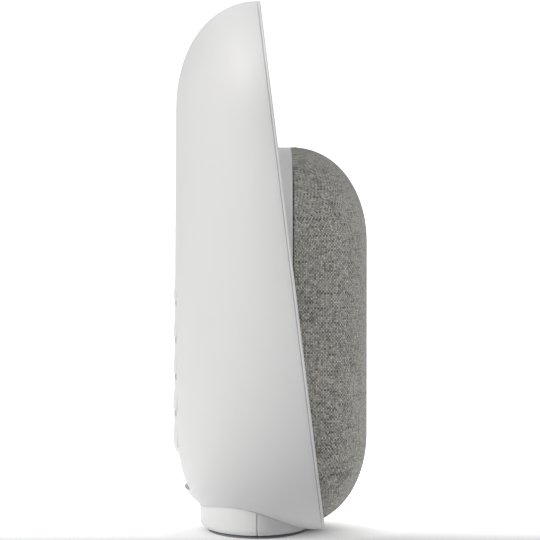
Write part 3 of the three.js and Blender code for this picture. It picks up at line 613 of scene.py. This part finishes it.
def cover_glass(name, ink):
    """Glass printed black behind, with the screen faintly bluer, touch marks and sound holes."""
    f = Finish(name, Coat_Weight=1.0, Coat_Roughness=0.02, Specular_IOR_Level=0.6)
    x, _, z = f.parts(f.place())
    across = x.math("ABSOLUTE")
    up = z * (1 / COS)
    screen = (across < 0.044) * (up > 0.160) * (up < 0.194)
    edge = (across < 0.0444) * (up > 0.1596) * (up < 0.1944) - screen

    def ring(cx, cz, radius, line):
        gap = ((x - cx) ** 2 + (up - cz) ** 2) ** 0.5 - radius
        return gap.math("ABSOLUTE") < line

    marks = ring(-0.0555, 0.1775, 0.0022, 0.00018)
    marks = marks.math("MAXIMUM", ring(0.0555, 0.1775, 0.0022, 0.00018))
    holes = ring(-0.0605, 0.1605, 0, 0.00055).math("MAXIMUM", ring(0.0605, 0.1605, 0, 0.00055))
    smear = f.noise(34, 3)
    base = f.mix(screen, (*ink, 1), (0.0075, 0.009, 0.012, 1))
    base = f.mix(edge, base, (0.002, 0.002, 0.002, 1))
    base = f.mix(marks * 0.8, base, (0.32, 0.33, 0.34, 1))
    f.feed("Base Color", f.mix(holes, base, (0.001, 0.001, 0.001, 1)))
    f.feed("Roughness", smear * 0.07 + 0.045 + screen * 0.02)
    f.bump(smear - holes * 4, 0.00002, 0.4)
    return f.material


def diffuser(name, colour):
    """Milky plastic over the status lights, unlit."""
    f = Finish(name, Subsurface_Weight=0.15, Subsurface_Radius=(0.002, 0.002, 0.002))
    x, _, _ = f.parts(f.place())
    lamps = (x * (math.pi / 0.006)).math("SINE") ** 2
    f.feed("Base Color", f.colours(lamps * 0.6 + f.noise(120) * 0.4, shade(colour, 0.93), colour))
    f.feed("Roughness", f.noise(200) * 0.1 + 0.22)
    return f.material


def slider_plastic(name, colour, warning):
    """Black plastic, with the orange patch that shows in the slot when the slider is moved."""
    f = Finish(name)
    x, y, _ = f.parts(f.place())
    patch = (x < -0.0064) * (y < 0.0324) * (x > -0.012)
    fine = f.noise(4000, 1)
    plain = f.colours(f.noise(40), shade(colour, 0.8), shade(colour, 1.2))
    f.feed("Base Color", f.mix(patch, plain, (*warning[:3], 1)))
    f.feed("Roughness", fine * 0.12 + 0.4)
    f.bump(fine, 0.00001)
    return f.material


def finishes():
    """All the materials, made once from the colours in the panel."""
    if "shell white" in bpy.data.materials:
        return bpy.data.materials
    c, sizes = bpy.context.scene.display_colours, bpy.context.scene.display_sizes
    moulded("shell white", tuple(c.shell), 0.54)
    moulded("foot white", shade(c.shell, 0.97), 0.5)
    # Painted shade: the foot's front half is made darker than the rear half, for the shade under the
    # shell's overhanging toe
    moulded("foot front painted shade white", shade(c.shell, 0.84), 0.52)
    heather_cloth(
        "heather cloth", tuple(c.cloth_light), tuple(c.cloth_dark),
        sizes.weave_across / MM, sizes.weave_up / MM, CLOTH_SPAN,
    )
    moulded("black plastic", tuple(c.black), 0.42, grain=0.6)
    cover_glass("cover glass", tuple(c.glass_ink))
    rubber("grey rubber", tuple(c.rubber))
    metal("plated steel", (0.62, 0.63, 0.64), 0.32, (1, 8, 1))
    metal("aluminium", (0.78, 0.79, 0.8), 0.38, (8, 1, 1))
    metal("bright contact", (0.7, 0.71, 0.72), 0.24)
    ferrite("ferrite", (0.045, 0.045, 0.05))
    copper_winding("copper winding", (0.72, 0.36, 0.18))
    pulp("cone pulp", (0.03, 0.03, 0.032))
    circuit_board("circuit board", (0.012, 0.085, 0.045))
    diffuser("milky diffuser", (0.82, 0.84, 0.86))
    plain_cloth("doped cloth", (0.12, 0.09, 0.05))
    slider_plastic("slider plastic", tuple(c.black), tuple(c.mute_patch))
    return bpy.data.materials


# ---- Pieces --------------------------------------------------------------------------------
def build_rear_shell(sizes):
    """One closed skin: outside, rounded rim edge, rim face and inside, then its openings."""
    front = PANEL_THICK + sizes.seam / MM
    edge = sizes.edge_radius / MM
    wall = sizes.wall / MM
    lows = [LOUVRE_LOW_Z + i * LOUVRE_PITCH for i in range(LOUVRES)]
    low_z = height_where(front / COS, TOE_Z, BOTTOM_CURVE_Z)
    high_z = height_where(front / COS, HEIGHT, TOP_CURVE_Z)
    lip_step, side_step, columns, outer_side = 0.02, 0.04, 24, 38
    wanted = [z for low in lows for z in (low - lip_step, low, low + LOUVRE_HEIGHT)]
    heights = even_heights(lambda z: rim_point(z, 1, front).x, low_z, high_z, 190)
    heights = [z for z in heights if min(abs(z - w) for w in wanted) > 0.45]
    heights = sorted(heights + wanted)
    heights[0], heights[-1] = low_z, high_z
    # Columns across the louvres, with a close pair at each of their sides for a sharp step.
    half = LOUVRE_HALF_WIDTH + side_step
    band = [-half + i * 2 * half / columns for i in range(1, columns)]
    band = sorted([*band, *(s * x for s in (-1, 1) for x in (LOUVRE_HALF_WIDTH, half))])
    inner = even_angles(HALF_WIDTH, 45, PLAN_POWER, 64)
    middle = (HEIGHT + TOE_Z) / 2
    tall = 1 - wall / ((HEIGHT - TOE_Z) / 2)
    wide = 1 - wall / HALF_WIDTH
    deep_share = 1 - wall / (BACK_LOW_Y - plane_y(BOTTOM_CURVE_Z))

    def rise(x, z):
        for low in lows:
            if low - 1e-6 <= z <= low + LOUVRE_HEIGHT and abs(x) < LOUVRE_HALF_WIDTH + 0.001:
                return sizes.louvre_rise / MM * max(0.0, 1 - (z - low) / LOUVRE_HEIGHT)
        return 0.0

    def section(z):
        width, deep = rim_half_width(z), depth(z)
        start = math.asin(min(1.0, (front + edge) / COS / deep) ** (PLAN_POWER / 2))
        scale = min(1.0, 0.34 * width / band[-1])
        inside = [math.acos(min(1, abs(x) * scale / width) ** (PLAN_POWER / 2)) for x in band]
        inside = [a if x > 0 else math.pi - a for x, a in zip(band, inside)][::-1]
        last = max(inside[0], start)
        angles = [start + (last - start) * i / outer_side for i in range(outer_side)]
        angles = angles + [min(max(a, start), math.pi - start) for a in inside]
        angles += [math.pi - a for a in reversed(angles[:outer_side])]
        points = []
        for a in angles:
            x = width * signed_power(math.cos(a), 2 / PLAN_POWER)
            y = plane_y(z) + deep * max(0.0, math.sin(a)) ** (2 / PLAN_POWER)
            x = 0.0 if start > math.pi / 2 - 1e-6 else x
            points.append(Vector((x, y + rise(x, z), z)))
        turns = [math.pi / 6 * i for i in (2, 1, 0)]
        rounding = [(front + edge * (1 - math.cos(t)), edge * (1 - math.sin(t))) for t in turns]
        points += [rim_point(z, -1, o, i) for o, i in rounding]
        level_z = middle + (z - middle) * tall
        level_deep = deep * deep_share
        begin = math.asin(min(1.0, front / COS / level_deep) ** (PLAN_POWER / 2))
        for a in reversed(inner):
            a = begin + (math.pi - 2 * begin) * a / math.pi
            x = width * wide * signed_power(math.cos(a), 2 / PLAN_POWER)
            x = 0.0 if deep < front / COS + 1e-3 else x
            y = plane_y(level_z) + level_deep * max(0.0, math.sin(a)) ** (2 / PLAN_POWER)
            points.append(Vector((x, y, level_z)))
        points += [rim_point(z, 1, o, i) for o, i in reversed(rounding)]
        return points + points[:1]

    rows = [section(z) for z in heights]
    shell = grid("shell", len(rows[0]) - 1, len(rows) - 1, lambda c, r: rows[r][c])
    tools = []
    for low in lows[1:]:  # the lowest louvre stands right over the connector opening
        high = low - WINDOW_DROP
        for place in WINDOW_PLACES:
            slot = rounded_outline(
                WINDOW_HALF_WIDTH, high - WINDOW_HEIGHT, high, 0.7, steps=4, middle=place
            )
            tools.append(plate("slot", slot, 28, 50))
    opening = plate("opening", connector_outline(-CLEARANCE, CONNECTOR_CORNER), 24, 50)
    shell = cut(shell, opening)
    mute = rounded_outline(6.7, MUTE_Z - 2.7, MUTE_Z + 2.7, 2.0)
    tools.append(plate("mute_slot", mute, 30, 50))
    x, y, z = ROCKER
    rocker_slot = rounded_outline(2.65, z - 11.5, z + 11.5, 2.65, middle=y)
    tools.append(plate("rocker_slot", rocker_slot, x - 8, 100, at=across_and_out))
    return cut(shell, join(tools))


def connector_outline(inset, corner):
    return rounded_outline(
        CONNECTOR_HALF_WIDTH - inset, CONNECTOR_LOW_Z + inset, CONNECTOR_HIGH_Z - inset, corner
    )


def pod_outline(inset, steps=26):
    return rounded_outline(
        POD_HALF_WIDTH - inset, POD_BOTTOM_Z + inset, POD_TOP_Z - inset, POD_CORNER - inset,
        power=POD_OUTLINE_POWER, steps=steps,
    )


def glass_outline(inset, steps=22):
    arch = rounded_outline(
        GLASS_HALF_WIDTH - inset, GLASS_LOW - 60, GLASS_HIGH - inset, GLASS_SHOULDER - inset,
        power=RIM_POWER, steps=steps,
    )
    foot = rounded_outline(GLASS_HALF_WIDTH - inset - 1, GLASS_LOW + inset, GLASS_LOW + 12, 5, steps=8)
    return [p for p in arch if p[1] > GLASS_LOW + 6] + [p for p in foot if p[1] < GLASS_LOW + 6]


def light_outline(grow=0.0):
    high = LIGHT_HALF_HEIGHT + grow
    return rounded_outline(LIGHT_HALF_WIDTH + grow, LIGHT_Z - high, LIGHT_Z + high, high)


def pod_solid(name, grow, back, columns=72, rows=90):
    """The pod's form as a closed solid, for cutting its clearance."""
    angles = even_angles(POD_HALF_WIDTH, POD_BACK_Y - POD_FRONT_Y, POD_PLAN_POWER, columns)
    heights = even_heights(pod_half_width, POD_BOTTOM_Z, POD_TOP_Z, rows)
    piece = grid(
        name, len(angles) - 1, rows, lambda c, r: pod_point(angles[c], heights[r], grow)
    )
    with editing(piece, "EDGE"):
        bpy.ops.mesh.select_all(action="SELECT")
        bpy.ops.mesh.region_to_loop()
        bpy.ops.mesh.extrude_region_move(
            TRANSFORM_OT_translate={"value": (0, (back - POD_BACK_Y) * MM, 0)}
        )
        bpy.ops.mesh.edge_face_add()
        bpy.ops.mesh.select_all(action="SELECT")
        bpy.ops.mesh.normals_make_consistent(inside=False)
    return piece


def build_front_panel(sizes):
    """The leaning face with its rounded rim, the collar round the pod, and the glass's pocket."""
    edge = sizes.edge_radius / MM
    back_edge = 0.2
    turns = [math.pi / 6 * i for i in range(4)]
    rings = [rim_ring(edge * (1 - math.cos(t)), edge * (1 - math.sin(t))) for t in turns]
    rings += [
        rim_ring(PANEL_THICK - back_edge * (1 - math.cos(t)), back_edge * (1 - math.sin(t)))
        for t in reversed(turns)
    ]
    panel = stack("front_frame", rings)
    inset = sizes.wall / MM + 0.5
    spigot = stack("spigot", [rim_ring(offset, inset) for offset in (PANEL_CORE, SPIGOT_BACK)])
    panel = cut(panel, spigot, "UNION")
    panel = cut(panel, pod_solid("clearance", 0.5, SEAT_Y - 0.02))
    collar = plate("collar", pod_outline(0), SEAT_Y, 12, low_round=0.4)
    collar = bisect(collar, leaning(0, 2.37, 0), PLANE_NORMAL)
    panel = cut(panel, collar, "UNION")
    pocket = sizes.glass_thickness / MM + CLEARANCE
    screen = rounded_outline(45.5, 158.5, 195.5, 2, steps=6)
    tools = [
        plate("opening", pod_outline(3), -60, 20),
        plate("pocket", glass_outline(-CLEARANCE), -5, pocket, at=leaning),
        plate("screen_window", screen, pocket - 0.2, 10, at=leaning),
        plate("light_slot", light_outline(CLEARANCE), -5, 10, at=leaning),
    ]
    for tool in tools:
        panel = cut(panel, tool)
    return panel


def build_speaker_cloth(sizes):
    """The woven cover, stretched over the pod and turned in behind it."""
    columns, rows = 132, 186
    angles = even_angles(POD_HALF_WIDTH, POD_BACK_Y - POD_FRONT_Y, POD_PLAN_POWER, columns)
    heights = even_heights(pod_half_width, POD_BOTTOM_Z, POD_TOP_Z, rows)
    places = [[pod_point(a, z) for a in angles] for z in heights]
    lay = {}
    for r in range(rows + 1):
        run = 0.0
        for c in range(columns // 2 + 1, columns + 1):
            run += (places[r][c] - places[r][c - 1]).length
            lay[c, r] = [run, 0]
            lay[columns - c, r] = [-run, 0]
        lay[columns // 2, r] = [0, 0]
    for c in range(columns + 1):
        for step, ends in ((1, rows + 1), (-1, -1)):
            run = 0.0
            for r in range(rows // 2 + step, ends, step):
                run += (places[r][c] - places[r - step][c]).length
                lay[c, r][1] = run * step
    deselect()
    bpy.ops.mesh.primitive_grid_add(x_subdivisions=columns, y_subdivisions=rows, size=1)
    piece = named("speaker_cloth")
    points = piece.data.vertices
    keys = [(round((v.co.x + 0.5) * columns), round((v.co.y + 0.5) * rows)) for v in points]
    for v, (c, r) in zip(points, keys):
        v.co = places[r][c] * MM
    weave = piece.data.uv_layers[0] if piece.data.uv_layers else piece.data.uv_layers.new()
    weave.name = "weave"
    for loop in piece.data.loops:
        across, up = lay[keys[loop.vertex_index]]
        weave.data[loop.index].uv = (0.5 + across / CLOTH_SPAN, 0.5 + up / CLOTH_SPAN)
    middle = Vector((0, POD_BACK_Y, (POD_TOP_Z + POD_BOTTOM_Z) / 2)) * MM

    def at_back(part):
        return all(abs(v.co.y - middle.y) < 1e-6 for v in part.verts)

    with editing(piece, "EDGE"):
        bpy.ops.mesh.select_all(action="SELECT")
        bpy.ops.mesh.region_to_loop()
        bpy.ops.mesh.extrude_region_move()
        bpy.ops.transform.resize(value=(0.96, 1, 0.966), center_override=middle)
        form = bmesh.from_edit_mesh(piece.data)
        for e in form.edges:  # the corner between the cover and what is turned in behind it
            sides = sorted(at_back(f) for f in e.link_faces)
            e.select_set(at_back(e) and sides == [False, True])
        bmesh.update_edit_mesh(piece.data)
        bpy.ops.mesh.bevel(offset=0.8 * MM, segments=4, affect="EDGES", clamp_overlap=False)
    thick = piece.modifiers.new("thickness", "SOLIDIFY")
    thick.thickness, thick.offset = sizes.cloth_thickness, -1
    bpy.ops.object.modifier_apply(modifier=thick.name)
    return piece


def foot_outline(inset, steps=144):
    turn = [2 * math.pi * i / steps for i in range(steps)]
    return [
        (
            (FOOT_HALF_WIDTH - inset) * math.cos(a),
            FOOT_Y + (FOOT_HALF_DEPTH - inset) * math.sin(a),
        )
        for a in turn
    ]


def body_solid(name, grow):
    """The shell's outer form as a closed solid, grown by a clearance."""
    angles = even_angles(HALF_WIDTH, 45, PLAN_POWER, 90)
    heights = even_heights(rim_half_width, TOE_Z, HEIGHT, 110)
    middle = (HEIGHT + TOE_Z) / 2
    tall = 1 + grow / ((HEIGHT - TOE_Z) / 2)

    def place(c, r):
        z = heights[r]
        x = (rim_half_width(z) + grow) * signed_power(math.cos(angles[c]), 2 / PLAN_POWER)
        out = max(0.0, math.sin(angles[c])) ** (2 / PLAN_POWER)
        x = 0.0 if r in (0, len(heights) - 1) else x
        high = middle + (z - middle) * tall
        return Vector((x, plane_y(high) - grow + max(0.0, depth(z) + 2 * grow) * out, high))

    piece = grid(name, len(angles) - 1, len(heights) - 1, place)
    with editing(piece, "EDGE"):
        bpy.ops.mesh.select_all(action="SELECT")
        bpy.ops.mesh.region_to_loop()
        bpy.ops.mesh.edge_face_add()
        bpy.ops.mesh.select_all(action="SELECT")
        bpy.ops.mesh.normals_make_consistent(inside=False)
    return piece


def build_foot_half(name, side, sizes):
    """Half of the hollow oval foot, cut to the shell's underside, with its seam edge rounded."""
    half = plate(name, foot_outline(0), FOOT_FLOOR_Z, 20, at=standing, low_round=3.0, steps=8)
    seam = FOOT_Y + side * sizes.seam / MM
    half = bisect(half, Vector((0, seam, 0)), Vector((0, -side, 0)))
    with editing(half, "EDGE") as form:
        for e in form.edges:
            e.select_set(all(abs(v.co.y - seam * MM) < 1e-6 for v in e.verts))
        bmesh.update_edit_mesh(half.data)
        bpy.ops.mesh.bevel(offset=0.3 * MM, segments=3, affect="EDGES", clamp_overlap=True)
    floor = FOOT_FLOOR_Z + FOOT_WEB
    half = cut(half, plate("hollow", foot_outline(FOOT_WALL), floor, 40, at=standing))
    return cut(half, body_solid("shell_room", FOOT_GAP))


def build_connector_tray():
    """The tray in the back's opening, set back from the shell, with its three holes."""
    wall, z = 1.2, CONNECTOR_MIDDLE_Z
    outside = connector_outline(0, CONNECTOR_CORNER)
    inside = connector_outline(wall, CONNECTOR_CORNER - wall / 2)
    tray = plate("connector_tray", outside, CONNECTOR_Y, 50)
    tray = cut(tray, body_solid("flush", -CONNECTOR_SET_BACK), "INTERSECT")
    tray = cut(tray, plate("hollow", inside, CONNECTOR_Y + wall, 60))
    port = rounded_outline(4.7, z - 1.8, z + 1.8, 1.8, middle=PORT_X)
    for hole in (circle(3.1, JACK_X, z), port, circle(3.0, BUTTON_X, z)):
        tray = cut(tray, plate("hole", hole, 20, 30))
    return tray


def build_power_inlet():
    z = CONNECTOR_MIDDLE_Z
    body = rounded_outline(4.5, z - 5, z + 5, 0.6, steps=4, middle=JACK_X)
    inlet = plate("power_inlet", body, 16.3, CONNECTOR_Y - 0.3, high_round=0.3)
    inlet = cut(inlet, plate("barrel", circle(2.75, JACK_X, z), 17.4, 40))
    return cut(inlet, plate("pin", circle(1.0, JACK_X, z), 17, 24.5, high_round=0.4), "UNION")


def build_service_socket():
    z = CONNECTOR_MIDDLE_Z

    def outline(inset):
        high = 1.5 - inset
        return rounded_outline(4.4 - inset, z - high, z + high, high, middle=PORT_X)

    socket = plate("service_socket", outline(0), 19, CONNECTOR_Y + 1, high_round=0.15)
    socket = cut(socket, plate("mouth", outline(0.35), 20, 40))
    tongue = rounded_outline(3.2, z - 0.35, z + 0.35, 0.12, steps=3, middle=PORT_X)
    return cut(socket, plate("tongue", tongue, 19.5, 26, high_round=0.1), "UNION")


def build_setup_button():
    z = CONNECTOR_MIDDLE_Z
    button = plate("setup_button", circle(2.6, BUTTON_X, z), 24, 28.6, high_round=0.5)
    dish = plate("dish", circle(1.7, BUTTON_X, z), 28.35, 31, low_round=0.2)
    flange = plate("flange", circle(3.8, BUTTON_X, z), 23.4, 24.6, high_round=0.2)
    return cut(cut(button, dish), flange, "UNION")


def build_mute_knob():
    outline = rounded_outline(4.2, MUTE_Z - 2.3, MUTE_Z + 2.3, 1.6, middle=MUTE_X)
    knob = plate("mute_knob", outline, 31.5, 35.6, high_round=0.4)
    for i in range(-2, 3):
        rib = rounded_outline(0.28, MUTE_Z - 1.6, MUTE_Z + 1.6, 0.28, steps=4, middle=MUTE_X + i)
        knob = cut(knob, plate("groove", rib, 35.25, 37))
    skirt = rounded_outline(11, MUTE_Z - 5, MUTE_Z + 5, 0.8, steps=4, middle=MUTE_X)
    return cut(knob, plate("skirt", skirt, 31, 32.2), "UNION")


def build_volume_bar():
    x, y, z = ROCKER

    def sideways(across, out, up):
        return Vector((x + out, y + across, z + up))

    def pill(name, half_length, half_width, low, high, **edges):
        outline = rounded_outline(half_width, -half_length, half_length, half_width, steps=14)
        return plate(name, outline, low, high, at=sideways, **edges)

    bar = pill("volume_bar", 11, 2.2, 0, 6.4, high_round=0.5)
    for end in (-1, 1):
        spot = circle(0.55, 0, end * 7.6, steps=24)
        bar = cut(bar, plate("spot", spot, 6.2, 8, at=sideways, low_round=0.1))
    return cut(bar, pill("flange", 11.6, 3.2, -0.6, 0.5), "UNION")


# ---- Settings ------------------------------------------------------------------------------
def length(name, description, default):
    return bpy.props.FloatProperty(
        name=name, description=description, default=default, min=0.0, unit="LENGTH", precision=5
    )


def colour(name, description, default):
    return bpy.props.FloatVectorProperty(
        name=name, description=description, default=default, min=0, max=1, size=3, subtype="COLOR"
    )


class DisplaySizes(bpy.types.PropertyGroup):
    """Sizes that a maker would change."""

    wall: length("Wall", "Thickness of the moulded shell", 0.0024)
    seam: length("Seam", "Gap between neighbouring mouldings", 0.0001)
    edge_radius: length("Edge radius", "Rounding of the rim's edges", 0.00035)
    louvre_rise: length("Louvre rise", "How far a louvre's lip stands out", 0.0005)
    glass_thickness: length("Glass", "Thickness of the cover glass", 0.0011)
    cloth_thickness: length("Cloth", "Thickness of the speaker cloth", 0.0009)
    weave_across: length("Weave across", "Distance between upright yarns", 0.00064)
    weave_up: length("Weave up", "Distance between level yarns", 0.0007)


class DisplayColours(bpy.types.PropertyGroup):
    """Colours that a maker would change."""

    shell: colour("Shell", "White moulded plastic", (0.765, 0.765, 0.765))
    cloth_light: colour("Light yarn", "Lightest yarn of the cloth", (0.8, 0.765, 0.7))
    cloth_dark: colour("Dark yarn", "Darkest yarn of the cloth", (0.16, 0.154, 0.139))
    glass_ink: colour("Glass ink", "Printing behind the glass", (0.004, 0.0042, 0.005))
    black: colour("Black plastic", "Inner mouldings and connectors", (0.022, 0.022, 0.024))
    rubber: colour("Rubber", "Foot pad and seals", (0.2, 0.205, 0.225))
    mute_patch: colour("Mute patch", "Shows beside the slider when muted", (0.75, 0.16, 0.02))


# ---- Operators -----------------------------------------------------------------------------
CAMERA_PLACE, CAMERA_TARGET = Vector((-2.0, 0.0023, 0.195)), Vector((0, -0.0002, 0.1006))
LENS_MM, SENSOR_MM = 344, 36
LAMPS = (  # name, place, size, watts, colour and target
    ("key", (-0.62, 0.86, 0.72), 0.75, 9.2, (1.0, 0.985, 0.96), (0, 0, 0.1)),
    ("fill", (-0.5, -0.6, 1.15), 0.7, 4.1, (1.0, 0.99, 0.97), (0, 0, 0.1)),
    ("behind", (1.25, 0.1, 1.0), 1.4, 2.5, (0.97, 0.98, 1.0), (0.5, 0, 0)),
)
# The sweep's section, as distances from the middle and heights: flat, then up into a round wall.
SWEEP = [(0.02, 0), (0.6, 0), (2.6, 0), (2.95, 0.06), (3.2, 0.25), (3.3, 0.55), (3.32, 1.3)]


class DISPLAY_OT_stage(bpy.types.Operator):
    """Add the floor, the studio lights and the camera"""

    bl_idname = "smart_display.stage"
    bl_label = "Stage"
    bl_options = {"REGISTER", "UNDO"}

    def execute(self, context):
        scene = context.scene
        scene.view_settings.view_transform = "Standard"
        world = bpy.data.worlds.new("studio")
        scene.world = world
        world.use_nodes = True
        sky = world.node_tree.nodes["Background"]
        sky.inputs["Color"].default_value = (0.95, 0.97, 1, 1)
        sky.inputs["Strength"].default_value = 0.33
        self.sweep()
        for lamp in LAMPS:
            self.lamp(*lamp)
        deselect()
        bpy.ops.object.camera_add(location=CAMERA_PLACE)
        camera = context.object
        aim = CAMERA_TARGET - camera.location
        camera.rotation_euler = aim.to_track_quat("-Z", "Y").to_euler()
        camera.data.lens, camera.data.sensor_width = LENS_MM, SENSOR_MM
        scene.camera = camera
        return {"FINISHED"}

    def sweep(self):
        """A pale floor that curves up into a low round wall, and glows beyond the object."""
        f = Finish("studio white", Roughness=0.9, Specular_IOR_Level=0.1)
        paper = f.noise(40, 2)
        f.feed("Base Color", f.colours(paper, (0.68, 0.68, 0.685), (0.7, 0.7, 0.705)))
        x, y, _ = f.parts(f.place())
        around = (((x * x + y * y) ** 0.5 - 0.015) * 28).math("MINIMUM", 1.0)
        beyond = ((x + 0.06) * 14).math("MINIMUM", 1.0).math("MAXIMUM", 0.0)
        strip = (x * 0.12 + 0.42 - y.math("ABSOLUTE")) * 3.3
        strip = strip.math("MINIMUM", 1.0).math("MAXIMUM", 0.0)
        f.feed("Emission Color", f.colours(around * beyond * strip, (0, 0, 0), (1, 1, 1)))
        f.shader.inputs["Emission Strength"].default_value = 1.0
        columns = 96
        turn = np.linspace(0, 2 * math.pi, columns + 1)
        rows = [[Vector((r * math.cos(a), r * math.sin(a), z)) / MM for a in turn] for r, z in SWEEP]
        floor = grid("floor", columns, len(SWEEP) - 1, lambda c, r: rows[r][c])
        with editing(floor, "EDGE") as form:
            for e in form.edges:
                e.select_set(all(v.co.to_2d().length < SWEEP[0][0] + MM for v in e.verts))
            bmesh.update_edit_mesh(floor.data)
            bpy.ops.mesh.edge_face_add()
            bpy.ops.mesh.select_all(action="SELECT")
            bpy.ops.mesh.normals_make_consistent(inside=True)
        smooth(floor, 60)
        floor.data.materials.append(f.material)

    def lamp(self, name, place, size, power, colour, target):
        deselect()
        bpy.ops.object.light_add(type="AREA", location=place)
        lamp = bpy.context.object
        lamp.name = name
        lamp.data.shape, lamp.data.size = "DISK", size
        lamp.data.energy, lamp.data.color = power, colour
        aim = Vector(target) - lamp.location
        lamp.rotation_euler = aim.to_track_quat("-Z", "Y").to_euler()


class DISPLAY_OT_rear_shell(bpy.types.Operator):
    """Build the white rear shell with its louvres and openings"""

    bl_idname = "smart_display.rear_shell"
    bl_label = "Rear shell"
    bl_options = {"REGISTER", "UNDO"}

    def execute(self, context):
        shell = smooth(build_rear_shell(context.scene.display_sizes))
        finished(shell, finishes()["shell white"], "housing", "shell_white", "rear_shell")
        return {"FINISHED"}


class DISPLAY_OT_front_panel(bpy.types.Operator):
    """Build the leaning front panel with its collar"""

    bl_idname = "smart_display.front_panel"
    bl_label = "Front panel"
    bl_options = {"REGISTER", "UNDO"}

    def execute(self, context):
        panel = smooth(build_front_panel(context.scene.display_sizes))
        finished(panel, finishes()["shell white"], "housing", "shell_white", "front_panel")
        return {"FINISHED"}


class DISPLAY_OT_speaker_cloth(bpy.types.Operator):
    """Build the woven speaker cover"""

    bl_idname = "smart_display.speaker_cloth"
    bl_label = "Speaker cloth"
    bl_options = {"REGISTER", "UNDO"}

    def execute(self, context):
        cloth = smooth(build_speaker_cloth(context.scene.display_sizes), 60)
        finished(cloth, finishes()["heather cloth"], "housing", "grille_cloth", "grille_fabric")
        return {"FINISHED"}


class DISPLAY_OT_glass(bpy.types.Operator):
    """Build the arched cover glass and the status light"""

    bl_idname = "smart_display.glass"
    bl_label = "Cover glass and light"
    bl_options = {"REGISTER", "UNDO"}

    def execute(self, context):
        finish, thick = finishes(), context.scene.display_sizes.glass_thickness / MM
        glass = plate("display_cover", glass_outline(0), 0, thick, at=leaning, low_round=0.3)
        finished(smooth(glass), finish["cover glass"], "housing", "cover_glass", "display_glass")
        light = plate("status_light", light_outline(), 0, 3.4, at=leaning, low_round=0.25)
        finished(smooth(light), finish["milky diffuser"], "housing", "light_diffuser", "light_bar")
        return {"FINISHED"}


class DISPLAY_OT_foot(bpy.types.Operator):
    """Build the two halves of the foot and the pad under it"""

    bl_idname = "smart_display.foot"
    bl_label = "Foot"
    bl_options = {"REGISTER", "UNDO"}

    def execute(self, context):
        finish = finishes()
        for name, side, node, white in (
            # The front half takes the darker white, which is painted shade
            ("foot_front_half", -1, "foot_front", "foot front painted shade white"),
            ("foot_rear_half", 1, "foot_rear", "foot white"),
        ):
            half = smooth(build_foot_half(name, side, context.scene.display_sizes))
            finished(half, finish[white], "housing", "shell_white", node)
        outline = foot_outline(3)
        pad = plate("foot_grip", outline, 0, 0.8, at=standing, low_round=0.25, high_round=0.15)
        finished(smooth(pad), finish["grey rubber"], "housing", "pad_rubber", "foot_pad")
        return {"FINISHED"}


class DISPLAY_OT_connectors(bpy.types.Operator):
    """Build the recessed connector tray with its inlet, socket and button"""

    bl_idname = "smart_display.connectors"
    bl_label = "Connectors"
    bl_options = {"REGISTER", "UNDO"}

    def execute(self, context):
        black, steel = finishes()["black plastic"], finishes()["bright contact"]
        finished(smooth(build_connector_tray()), black, "housing", "black_plastic", "connector_plate")
        finished(smooth(build_power_inlet()), black, "housing", "black_plastic", "power_jack")
        finished(smooth(build_service_socket()), steel, "housing", "plated_steel", "service_port")
        finished(smooth(build_setup_button()), black, "sync_button", "black_plastic", "sync_button")
        return {"FINISHED"}


class DISPLAY_OT_controls(bpy.types.Operator):
    """Build the mute slider and the volume bar"""

    bl_idname = "smart_display.controls"
    bl_label = "Slider and volume bar"
    bl_options = {"REGISTER", "UNDO"}

    def execute(self, context):
        finish, knob, bar = finishes(), smooth(build_mute_knob()), smooth(build_volume_bar())
        finished(knob, finish["slider plastic"], "mute_slider", "black_plastic", "mute_slider")
        finished(bar, finish["shell white"], "volume_rocker", "shell_white", "volume_rocker")
        return {"FINISHED"}


INNER_FINISHES = {
    "shell_white": "shell white",
    "grille_cloth": "doped cloth",
    "black_plastic": "black plastic",
    "cover_glass": "cover glass",
    "pad_rubber": "grey rubber",
    "plated_steel": "plated steel",
    "sink_aluminium": "aluminium",
    "magnet_ferrite": "ferrite",
    "coil_copper": "copper winding",
    "cone_pulp": "cone pulp",
    "circuit_board": "circuit board",
    "light_diffuser": "milky diffuser",
}


class DISPLAY_OT_inside(bpy.types.Operator):
    """Give every piece inside the housing its own finish"""

    bl_idname = "smart_display.inside"
    bl_label = "Inner finishes"
    bl_options = {"REGISTER", "UNDO"}

    def execute(self, context):
        finish = finishes()
        slots = {p["node"]: p["material_slot"] for p in frame["record"]["subparts"]}
        for name, node in frame["nodes"].items():
            node.data.materials.clear()
            node.data.materials.append(finish[INNER_FINISHES[slots[name]]])
        return {"FINISHED"}


class DISPLAY_PT_panel(bpy.types.Panel):
    """The pieces, in the order in which they are built"""

    bl_label = "Smart display"
    bl_idname = "DISPLAY_PT_panel"
    bl_space_type = "VIEW_3D"
    bl_region_type = "UI"
    bl_category = "Smart display"

    def draw(self, context):
        for group in (context.scene.display_sizes, context.scene.display_colours):
            box = self.layout.box()
            for key in group.__annotations__:
                box.prop(group, key)
        for operator in OPERATORS:
            self.layout.operator(operator.bl_idname)


OPERATORS = (
    DISPLAY_OT_stage,
    DISPLAY_OT_rear_shell,
    DISPLAY_OT_front_panel,
    DISPLAY_OT_speaker_cloth,
    DISPLAY_OT_glass,
    DISPLAY_OT_foot,
    DISPLAY_OT_connectors,
    DISPLAY_OT_controls,
    DISPLAY_OT_inside,
)
CLASSES = (DisplaySizes, DisplayColours, *OPERATORS, DISPLAY_PT_panel)


def register():
    for made in CLASSES:
        bpy.utils.register_class(made)
    bpy.types.Scene.display_sizes = bpy.props.PointerProperty(type=DisplaySizes)
    bpy.types.Scene.display_colours = bpy.props.PointerProperty(type=DisplayColours)


def unregister():
    del bpy.types.Scene.display_colours
    del bpy.types.Scene.display_sizes
    for made in reversed(CLASSES):
        bpy.utils.unregister_class(made)


def main():
    register()
    for operator in OPERATORS:
        getattr(bpy.ops.smart_display, operator.bl_idname.split(".")[1])()
    bpy.context.view_layer.update()


if __name__ == "__main__":
    main()
